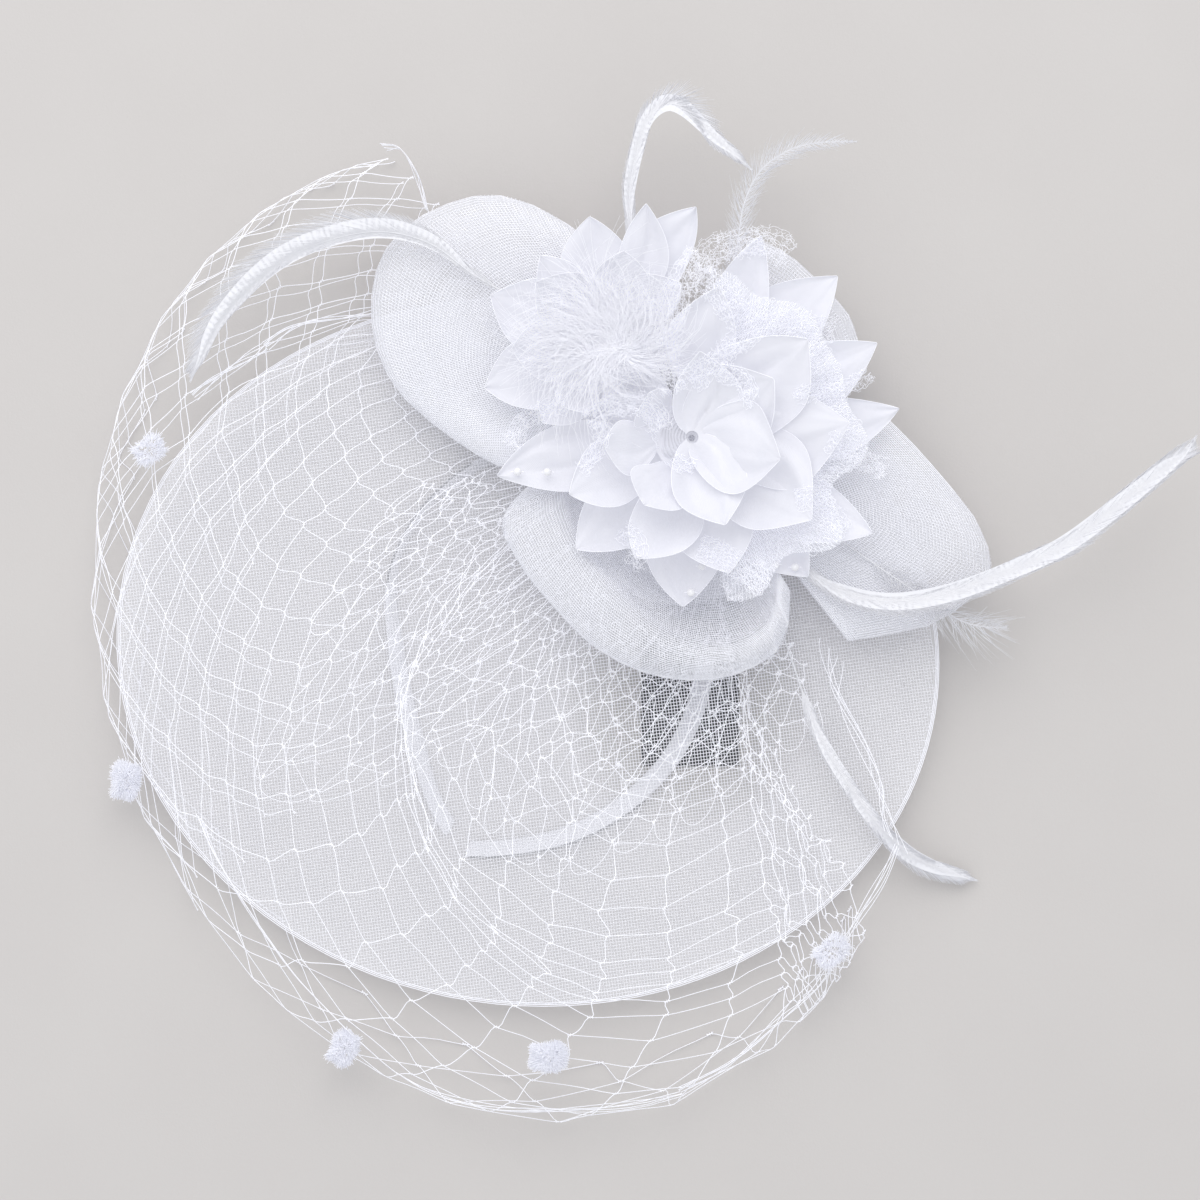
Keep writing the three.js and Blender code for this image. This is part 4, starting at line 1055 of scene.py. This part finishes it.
def petal(flower, start, level, size, row, seed, root=None):
    """Grid of one petal; row is angle, share of length, share of width, lift in degrees. A wrapped
    petal has a root: the radius and the height where it leaves the heart."""
    angle, long, wide, lift = row
    chance = np.random.default_rng(seed)
    along, side = np.meshgrid(np.linspace(0, 1, 27), np.linspace(-1, 1, 21), indexing="ij")
    slope = np.radians(lift)
    far = size[0] * long * along
    out, up = start + far * np.cos(slope), level + far * np.sin(slope)
    outline = LEAF
    if root:
        outline = WRAPPED
        out = mix(root[0], out[-1], along)
        up = mix(root[1], up[-1], along ** 1.5)
    half = size[1] * wide * curve(outline, along) * (1 + 0.05 * ripple(along * 6, side * 2 + seed, seed))
    half = half * (1 + chance.uniform(-0.18, 0.18) * side)
    open_part = np.sin(np.pi * np.clip(along, 0, 1) ** 0.8)
    up = up + chance.uniform(0.1, 0.26) * half * np.abs(side) ** 2.2 * np.minimum(1, 3 * along)
    for _ in range(CREASES):
        spot, drift = chance.uniform(-0.85, 0.85), chance.uniform(-0.35, 0.35)
        crease = np.exp(-((side - spot - drift * (along - 0.5)) / chance.uniform(0.07, 0.2)) ** 2)
        up = up + (1.7 if root else 1) * chance.uniform(-1.1, 0.8) * crease * open_part
    up = up + (1.5 if root else 0.5) * np.sin(side * 4.2 + seed + 1.2 * along) * open_part
    up = up + 0.5 * ripple(along * 7 + seed, side * 3.5, seed) * along
    up = up + chance.uniform(-1.0, 2.4) * np.clip(along - 0.72, 0, 1) ** 2 / 0.078
    bend = chance.uniform(-3, 3) * 4 * along * (1 - along)
    across = half * side
    flat = polar(flower, angle, out, up) + polar((0, 0), angle + 90, 1, 0) * (across + bend)[..., None]
    round_hole = polar(flower, angle + np.degrees(across / (out + 2)), out, up)
    return mix(round_hole, flat, smooth(along * 1.6)[..., None]) if root else flat


def petal_layer(name, node, core, flower, radius, above, size, rows, seed, wrapped=()):
    level = loop_top + above
    start = radius + GAP + HUB
    grids = []
    for k, row in enumerate(rows):
        in_heart = wrapped and row[0] in wrapped[0]
        root = (wrapped[1], wrapped[2] + 0.5 * (k % 3)) if in_heart else None
        grids.append(petal(flower, start, level, size, row, seed + k, root))
    turns = np.linspace(0, 360, 33)[:-1]
    ring = np.stack([polar(flower, turns, radius + GAP + out, level + 0.2 * out) for out in (0, 2, 4)], 1)
    layer = settle(sheets(name, grids, SATIN), "satin", node)
    hub = settle(sheets(name + "_ring", [ring], SATIN, True), "satin", node)
    rims = [np.concatenate([grid[2:, 0], grid[-1, 8:13:4], grid[:1:-1, -1]]) for grid in grids]
    edges = lay(name + "_edges", "satin", node, rims, 0.12, NET)
    return layer


# %% Layers of the two flowers
# Each row is a petal: angle, share of the layer's length, share of its width, lift in degrees.
FRONT_LOWER = [(191, 0.892, 0.8, 4), (224, 0.692, 0.87, 8), (267, 0.738, 1, 8), (310, 0.8, 0.87, 5),
               (332, 0.938, 0.8, 11), (8, 0.954, 0.73, 5), (27, 0.954, 0.8, 11), (48, 1, 0.93, 5),
               (71, 0.985, 0.73, 10)]
FRONT_MIDDLE = [(205, 0.826, 0.75, 21), (245, 0.87, 0.81, 29), (285, 0.87, 0.88, 21), (325, 0.957, 1.15, 29),
                (5, 1, 1.1, 21), (40, 1, 1.1, 29), (80, 0.957, 0.75, 21)]
FRONT_UPPER = [(185, 0.867, 0.77, 42), (235, 0.9, 0.85, 50), (290, 0.933, 1.05, 42), (345, 1, 1.25, 50),
               (35, 1, 1.2, 42), (85, 0.9, 0.9, 50), (135, 0.667, 0.69, 62)]
BACK_LOWER = [(101, 0.787, 1, 6), (78, 0.894, 0.69, 11), (60.6, 1, 0.85, 6), (128.5, 0.681, 0.69, 12),
              (196, 0.787, 1, 6), (156.5, 0.787, 1, 6), (225, 0.553, 0.77, 14)]
BACK_UPPER = [(85, 0.929, 0.91, 26), (140, 1, 1, 26), (180, 1, 1, 26), (45, 0.857, 0.82, 26),
              (225, 0.714, 0.82, 32)]
MIDDLE_WRAPPED = ((325, 5, 40), 7, HEART_TOP + 0.6)
UPPER_WRAPPED = ((290, 345, 35, 85), 2.2, HEART_TOP + 1.6)
FLOWERS = {
    "front": (FRONT, FRONT_RADIUS, {
        "lower": (2.8, (65, 15), FRONT_LOWER, 20),
        "middle": (8.1, (46, 16), FRONT_MIDDLE, 40, MIDDLE_WRAPPED),
        "upper": (12.1, (30, 13), FRONT_UPPER, 60, UPPER_WRAPPED)}),
    "back": (BACK, BACK_RADIUS, {
        "lower": (4.6, (47, 13), BACK_LOWER, 80),
        "upper": (8.1, (28, 11), BACK_UPPER, 95)}),
}
petals = []
for flower, (place, radius, layers) in FLOWERS.items():
    for name, row in layers.items():
        node, core = f"{flower}_petals_{name}", f"flower_core_{flower}"
        petals.append(petal_layer(f"petals_{flower}_{name}", node, core, place, radius, *row))

# %% [markdown]
# ## Hearts of the flowers
# Each flower's heart is a strip of cloth rolled round a small hole. From above the roll shows as fine
# ruffled rings with a dark middle. The rings are ridges in one face, because the roll is tight, and its
# outer edge droops over the petals' roots.

# %% Rolled hearts
def heart(name, node, flower, hole, radius, turns):
    low, high = (corner.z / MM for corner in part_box(node))
    angle = np.linspace(0, 360, 97)[:-1]
    out = np.linspace(0, 1, 9 * turns)
    phase = (out * turns + angle[:, None] / 360 + 0.15 * ripple(angle[:, None] / 25, out * 4, 3)) % 1
    wander = 0.7 * ripple(np.radians(angle)[:, None] * 3, out * 5, 5) * out
    ruffle = 0.6 * np.sin(np.radians(angle * 9))[:, None] * out ** 2
    top = high - 0.3 - 3.2 * out ** 3 - 1.1 * phase ** 2 + ruffle
    face = polar(flower, angle[:, None], mix(hole, radius, out) + wander, top)
    inner = polar(flower, angle, hole * 0.8, high - 9)[:, None]
    outer = np.stack([polar(flower, angle, radius * inwards, mix(low, high, up))
                      for inwards, up in ((0.85, 0.8), (0.75, 0.5), (0.7, 0.15), (0.7, 0))], 1)
    settle(sheets(name, [np.concatenate([inner, face, outer], 1)], SATIN, True), "satin", node)


heart("front_heart", "flower_core_front", FRONT, 1.4, 11.5, 9)
heart("back_heart", "flower_core_back", BACK, 1.3, 9.5, 6)

# %% [markdown]
# ## Tulle frill
# Between two layers of the front flower stands a frill of tulle, gathered into deep folds, with a cut
# edge that frays into curls. Tulle is mostly holes, so its finish is partly clear, and fine threads
# along the folds and across them give it the crisp look of net.

# %% Frill
FRILL_REACH, FRILL_LIFT, FRILL_SPAN = 64, 15, (-78, 85)
FRILL_ABOVE = 5.3  # over the loops


def frill_place(angle, out):
    """Place on the frill at an angle and a share of the way out"""
    start = FRONT_RADIUS + GAP + HUB
    edge = FRILL_REACH * (0.93 + 0.07 * ripple(angle / 11, angle / 17, 8))
    far = out * (edge - start)
    wave = out * (1.9 * np.sin(np.radians(angle * 15)) + 0.8 * np.sin(np.radians(angle * 41 + 60 * out)))
    tilt = np.radians(FRILL_LIFT)
    up = loop_top + FRILL_ABOVE + far * np.sin(tilt) + wave
    return polar(FRONT, angle, start + far * np.cos(tilt), up)


angle, out = np.meshgrid(np.linspace(*FRILL_SPAN, 330), np.linspace(0, 1, 12), indexing="ij")
frill = sheets("tulle_frill", [frill_place(angle, out)], TULLE)
settle(frill, "tulle", "front_tulle_frill")
lines = []
for start in np.arange(FRILL_SPAN[0], FRILL_SPAN[1], 1.25):
    for skew in (-13, 13):
        out = np.linspace(0.25, 1, 11)
        angle = start + skew * (out - 0.25) + 0.4 * ripple(out * 8, start, 9)
        inside = (angle > FRILL_SPAN[0]) & (angle < FRILL_SPAN[1])
        lines.append(frill_place(angle[inside], out[inside]))
frill_threads = lay("tulle_frill_threads", "tulle", "front_tulle_frill", lines, 0.1, NET)
curls = []
for start in rng.uniform(*FRILL_SPAN, 420):
    root = frill_place(np.array(start), np.array(rng.uniform(0.8, 1.0)))
    swirl = np.linspace(0, rng.uniform(3, 7), 8)[:, None]
    heading = rng.uniform(0, 6.28)
    loop = np.concatenate([np.cos(swirl + heading), np.sin(swirl + heading), 0.35 * swirl - 0.7], 1)
    curls.append(root + loop * rng.uniform(0.6, 1.5))
frill_curls = lay("tulle_frill_curls", "tulle", "front_tulle_frill", curls, 0.11, NET)

# %% [markdown]
# ## Lace between the petals
# Strips of curly lace show between the petals: strands that run side by side, wriggle and end in small
# loops. Each strip follows a path of the picture and lies on whatever is topmost there. A ray straight
# down finds that height, so none is buried. Where a petal ends high above the next one, the strands
# drop from its edge, which shows from the side and not from above.

# %% Height of the topmost petal
points, faces = [], []
for piece in (*petals, frill):
    faces += [[len(points) + corner for corner in face.vertices] for face in piece.data.polygons]
    points += [corner.co for corner in piece.data.vertices]
cover = BVHTree.FromPolygons(points, faces)
print(len(faces), "faces of petals and frill carry the lace")


def on_top(plan, otherwise):
    """Heights of the topmost cloth under spots of the plan, evened out along them"""
    hits = [cover.ray_cast((x * MM, y * MM, 0.2), (0, 0, -1))[0] for x, y in plan]
    heights = np.array([hit.z / MM if hit else otherwise for hit in hits])
    pad = np.pad(heights, 3, "edge")
    return np.maximum(heights, np.convolve(pad, np.ones(7) / 7, "valid")[:len(heights)])


# %% Strips of lace
# Each row is a path in the picture, its width in millimetres, its strands, and its least height if raised.
LOWEST = 34
STEP = 0.6
LACE = [
    ([(590, 424), (602, 412), (620, 405), (640, 405), (655, 414), (662, 430)], 8, 12, 47),
    ([(660, 424), (664, 444), (676, 462), (694, 468)], 5, 9),
    ([(604, 425), (600, 445), (590, 462), (582, 470)], 5, 8, 45),
    ([(742, 322), (724, 300), (706, 282), (700, 268), (712, 250), (738, 243), (770, 240), (790, 256)], 10, 8),
    ([(676, 392), (664, 366), (662, 335), (672, 305), (686, 278), (702, 252)], 11, 11, 41),
    ([(690, 382), (712, 366), (738, 342), (765, 326), (800, 322), (835, 332)], 8, 8),
    ([(720, 372), (740, 380), (750, 392), (742, 404)], 6, 6),
    ([(795, 396), (825, 391), (855, 384), (872, 372)], 5, 6),
    ([(828, 440), (850, 452), (870, 462), (886, 470)], 7, 6),
    ([(795, 500), (815, 498), (830, 508), (842, 530)], 7, 7),
    ([(700, 545), (724, 556), (745, 572), (765, 585)], 8, 9),
    ([(622, 530), (636, 540), (640, 556), (632, 566)], 6, 6),
    ([(510, 445), (522, 422), (542, 410), (566, 404)], 6, 7),
]
chance = np.random.default_rng(31)
lines = []
for path, wide, count, *raised in LACE:
    least = max([LOWEST, *raised])
    spots = picture_path(path, 400, HEART_TOP)[1][:, :2]
    walked = lengths(spots)
    at = np.arange(0, walked[-1], STEP)
    spots = np.stack([np.interp(at, walked, spots[:, k]) for k in (0, 1)], 1)
    way = np.gradient(spots, axis=0)
    way /= np.linalg.norm(way, axis=1)[:, None]
    beside = np.stack([-way[:, 1], way[:, 0]], 1)
    for strand in np.linspace(-0.5, 0.5, count):
        phase = 6.3 * chance.uniform()
        off = strand * wide + 0.8 * ripple(at / 3, strand * 9, 4) + 0.3 * np.sin(at * 2.3 + phase)
        along = 0.35 * np.cos(at * 2.3 * chance.uniform(0.8, 1.3) + phase)
        plan = spots + beside * off[:, None] + way * along[:, None]
        lift = 0.5 + 0.8 * chance.uniform() + 0.4 * np.sin(at * 1.2 + phase)
        lines.append(np.column_stack([plan, np.maximum(on_top(plan, least), least) + lift]))
    for _ in range(int(walked[-1] * wide * 0.75)):
        k = chance.integers(len(at))
        reach, turned = chance.uniform(1.2, 3.6), chance.normal(0, 0.5)
        run = np.linspace(-0.5, 0.5, 6)
        bow = chance.uniform(-0.5, 0.5) * (1 - 4 * run ** 2) + 0.12 * np.sin(run * 14)
        plan = spots[k] + beside[k] * wide * chance.uniform(-0.5, 0.5)
        plan = plan + reach * ((run * np.cos(turned) - bow * np.sin(turned))[:, None] * beside[k]
                               + (run * np.sin(turned) + bow * np.cos(turned))[:, None] * way[k])
        height = np.maximum(on_top(plan, least), least)
        lines.append(np.column_stack([plan, height + 0.6 + chance.uniform(0, 0.9)]))
lay("lace_strips", "tulle", "front_tulle_frill", lines, 0.09, LACE_THREAD)
print(len(LACE), "strips,", len(lines), "strands")

# %% [markdown]
# ## Feathers
# A feather is a stiff quill with barbs on both sides that sweep towards its tip. The narrow feathers
# have short close barbs that hook together into a blade, so a thin vane lies under their barbs. The
# fluffy ones have long loose barbs. Quill and barbs are lines, so the thread tree makes them, thick at
# the root and fine at the tip.

# %% Feather tables
# Each row: flower, reach, width, level, how steep, and stations (angle, share of reach, share of width).
FEATHERS = {
    "feather_left": (BACK, 150, 8, levels["feather_left"][0] + CLOTH, 1, [
        (150, 0.06, 0.3), (152.5, 0.34, 0.35), (150, 0.46, 0.6), (150.5, 0.54, 0.8), (153.5, 0.63, 1),
        (159.4, 0.73, 1), (164.8, 0.81, 1), (170.5, 0.875, 0.9), (175.5, 0.93, 0.7), (179.3, 0.96, 0.5),
        (184, 1, 0.15)]),
    "feather_top_curl": (BACK, 89, 5, levels["feather_top_curl"][0] + CLOTH, 1.8, [
        (80, 0.105, 0.5), (82, 0.427, 0.7), (85, 0.607, 0.9), (84, 0.773, 1), (82.4, 0.918, 1),
        (78.4, 1.003, 1.3), (73.4, 0.992, 1.2), (67.3, 0.943, 0.9), (61, 0.916, 0.6), (53, 0.896, 0.2)]),
    "feather_top_fluffy": (FRONT, 120, 9, levels["feather_top_fluffy"][0] + CLOTH, 1, [
        (80, 0.08, 0.3), (77, 0.433, 0.5), (76.7, 0.588, 0.9), (77.5, 0.692, 1), (76, 0.8, 1),
        (73, 0.867, 0.8), (69, 0.925, 0.6), (61, 0.997, 0.2)]),
    "feather_right": (FRONT, 177.5, 7, levels["feather_right"][0] + CLOTH, 1, [
        (-48, 0.056, 0.4), (-50, 0.315, 0.6), (-43, 0.472, 0.9), (-33, 0.58, 1), (-23, 0.682, 1),
        (-17, 0.761, 1), (-10, 0.845, 1), (-4, 0.935, 0.8), (-2, 0.978, 0.5), (0, 1, 0.15)]),
    "feather_lower": (FRONT, 188.4, 5, levels["feather_lower"][1] - CLOTH, 0, [
        (-64.7, 0.372, 0.5), (-65, 0.43, 0.7), (-66.3, 0.536, 0.8), (-66.5, 0.619, 0.9), (-65.6, 0.709, 1),
        (-64.3, 0.801, 1.1), (-62.6, 0.878, 1.3), (-60.5, 0.931, 1.1), (-57, 1, 0.3)]),
    "feather_right_fluffy": (FRONT, 130, 13, levels["feather_right_fluffy"][0] + CLOTH, 0, [
        (-34.3, 0.485, 0.3), (-34.4, 0.6, 0.6), (-34.4, 0.705, 0.9), (-34.2, 0.869, 1), (-33, 0.94, 0.8),
        (-31, 1, 0.3)]),
}
SINKING = [(0, 0), (4, 0), (5, 0.1), (6, 0.35), (7, 0.6), (8, 0.9)]
# Each row: millimetres between barbs, their sweep in degrees, how ragged, how loose, how lopsided.
BARBS = {
    "feather_left": (0.22, 15, 0.2, 0.03, 0.35),
    "feather_top_curl": (0.25, 16, 0.2, 0.04, 0),
    "feather_top_fluffy": (0.42, 34, 1.1, 0.3, 0),
    "feather_right": (0.22, 14, 0.12, 0.02, 0),
    "feather_lower": (0.24, 16, 0.15, 0.03, 0),
    "feather_right_fluffy": (0.5, 33, 1.5, 0.6, 0),
}
print(len(FEATHERS), "feathers, the longest reaches", max(row[1] for row in FEATHERS.values()), "mm")


# %% Quills and barbs
UP = np.array([0, 0, 1])
LOW = 0.2  # least height over the table


def feather(name, base, reach, width, level, steep, stations, barbs):
    apart, sweep, ragged, loose, skewed = barbs
    t = np.arange(len(stations))
    column = [list(zip(t, values)) for values in zip(*stations)]
    fine = np.linspace(0, len(stations) - 1, 400)
    out = curve(column[1], fine) * reach
    sink = straight(SINKING, fine) if name == "feather_lower" else 0
    height = mix(level + steep * 0.07 * (out - out[0]), CLOTH, sink)
    line = polar(base, curve(column[0], fine), out, height)
    even = np.hanning(61) / np.hanning(61).sum()
    padded = np.pad(line, ((30, 30), (0, 0)), "reflect", reflect_type="odd")
    line = np.stack([np.convolve(values, even, "valid") for values in padded.T], 1)
    line[:, 2] = np.maximum(line[:, 2], 0.6)
    walked = lengths(line)
    half = width / 2 * curve(column[2], fine)
    pieces, sizes = [line[::4]], [np.linspace(0.5, 0.12, 100)]
    bare = walked[-1] * 0.22
    for at in np.arange(bare, walked[-1] + 1.5, apart):
        spot, ahead = (np.array([np.interp(min(far, walked[-1]), walked, values) for values in line.T])
                       for far in (at, at + 1))
        way = unit(ahead - spot) if at < walked[-1] - 1 else unit(line[-1] - line[-8])
        side = unit(np.cross(way, (0, 0, 1)))
        reach_here = np.interp(min(at, walked[-1]), walked, half) + 0.25
        for hand in (1, -1):
            far = reach_here * (1 + skewed * hand) * rng.uniform(1 - 0.2 * ragged, 1 + 0.25 * ragged)
            far = max(0.3, far * min(1, (walked[-1] + 4 - at) / 16))
            lean = np.radians(sweep * np.clip(rng.normal(1, loose + 0.04), 0.6, 1.9))
            run = np.linspace(0, 1, 4)[:, None]
            curl = far * run * (1 + 0.3 * loose * rng.normal())
            forward = far / np.tan(lean) * run ** 1.15
            lift = (0.35 * far * run ** 2 * loose * rng.normal()) + 0.15 * run * rng.normal()
            barb = spot + side * hand * curl + way * forward + UP * lift
            barb[:, 2] = np.maximum(barb[:, 2], LOW)
            pieces.append(barb)
            sizes.append(np.array([0.17, 0.165, 0.125, 0.04]) * (0.7 if ragged > 1 else 1))
    taper = np.clip((walked[-1] - walked) / 14, 0, 1) * smooth((walked - bare) / 25)
    way = np.gradient(line, axis=0)
    side = np.cross(way / np.linalg.norm(way, axis=1)[:, None], (0, 0, 1))
    across = np.array([1 + skewed, 0.5, 0, -0.5, skewed - 1])
    vane = line[:, None] + side[:, None] * (across * (half * taper * 0.92)[:, None])[..., None]
    vane[..., 2] += 0.25 * np.abs(across) + 0.12 * np.sin(walked * 3)[:, None] * np.abs(across)
    vane[..., 2] = np.maximum(vane[..., 2], LOW)
    return pieces, sizes, vane[::2]


for name, row in FEATHERS.items():
    pieces, sizes, vane = feather(name, *row, BARBS[name])
    lay(name + "_barbs", "feather", name, pieces, sizes, BARB)
    if "fluffy" not in name:
        settle(sheets(name + "_vane", [vane], BARB), "feather", name)
    print(name, "has", len(pieces) - 1, "barbs")

# %% [markdown]
# ## Down on the back flower
# Marabou down covers the back flower: long soft fibres that spread in locks from the flower's heart
# and bend with their own softness. A few thousand fine bent lines give it without any image.

# %% Down
# Each row: angle, share of the reach, rise.
LOCKS = [(20, 0.85, 0.35), (55, 0.78, 0.3), (85, 0.8, 0.25), (115, 0.9, 0.3), (145, 1.1, 0.22),
         (172, 1.2, 0.2), (198, 1.15, 0.25), (225, 0.8, 0.35), (335, 0.85, 0.4)]
DOWN_REACH = 35
COUNT, FIBRES = 112, 34
down_level = levels["feather_fluff"][0]
pieces, sizes = [], []
for number in range(COUNT):
    angle, long, rise = LOCKS[number % len(LOCKS)]
    angle += rng.normal(0, 15)
    length = DOWN_REACH * long * rng.uniform(0.45, 1.05)
    root = polar(BACK, rng.uniform(0, 360), rng.uniform(0, 10), down_level + 1 + rng.uniform(0, 8))
    share = np.linspace(0, 1, 6)
    bend, slope = rng.normal(0, 26), rise * rng.uniform(0.2, 1.5)
    for _ in range(FIBRES):
        part = length * rng.uniform(0.35, 1.1)
        out = part * share
        heading = angle + bend * share ** 2 + rng.normal(0, 7) + rng.normal(0, 24) * share
        up = out * slope - out ** 2 * slope * 0.014 + rng.normal(0, 0.8) * share + rng.normal(0, 0.2, 6)
        aside = rng.normal(0, 1.4)
        spot = polar((0, 0), heading, out, np.clip(up, -1.5, 11))
        pieces.append(root + (spot + polar((0, 0), heading + 90, aside, 0)))
        sizes.append(np.linspace(0.14, 0.045, 6))
lay("down", "feather", "feather_fluff", pieces, sizes, DOWN)
print(len(pieces), "fibres of down")

# %% [markdown]
# ## Pearls
# Eight small pearls are sewn on the petals. Each is a smooth ball with a tiny hole at both ends of its
# thread, and the thread shows for a moment on both sides of it.

# %% Pearls and their thread
HOLE = 0.12  # half the angle that the hole takes from the ball
for number in range(1, 9):
    node = f"pearl_{number}"
    centre, size = node_box(node)
    radius = size.max() / 2
    turns, tilts = np.linspace(0, 2 * np.pi, 25)[:-1], np.linspace(HOLE, np.pi - HOLE, 13)
    turns, tilts = np.meshgrid(turns, tilts, indexing="ij")
    ball = np.stack([np.sin(tilts) * np.cos(turns), np.sin(tilts) * np.sin(turns), np.cos(tilts)], -1)
    ball = ball[..., [2, 0, 1]] * radius + centre
    settle(sheets(f"pearl_ball_{number}", [ball], PEARL, True), "pearl", node)
    far = np.linspace(-1.5, 1.5, 7)[:, None] * radius
    stitch = centre + far * (1, 0, 0) - (far / radius) ** 2 * (0, 0, 0.35)
    lay(f"pearl_stitch_{number}", "pearl", node, [stitch], 0.12, NET, 6)

# %% [markdown]
# ## Sizes
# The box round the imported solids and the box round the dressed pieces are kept, so that both can be
# compared: the dressing may reach a few millimetres past the solids, as fibres do.

# %% Sizes of the solids and of the dressed pieces
[[list(map(float, corner)) for corner in box] for box in (cad_box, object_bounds())]
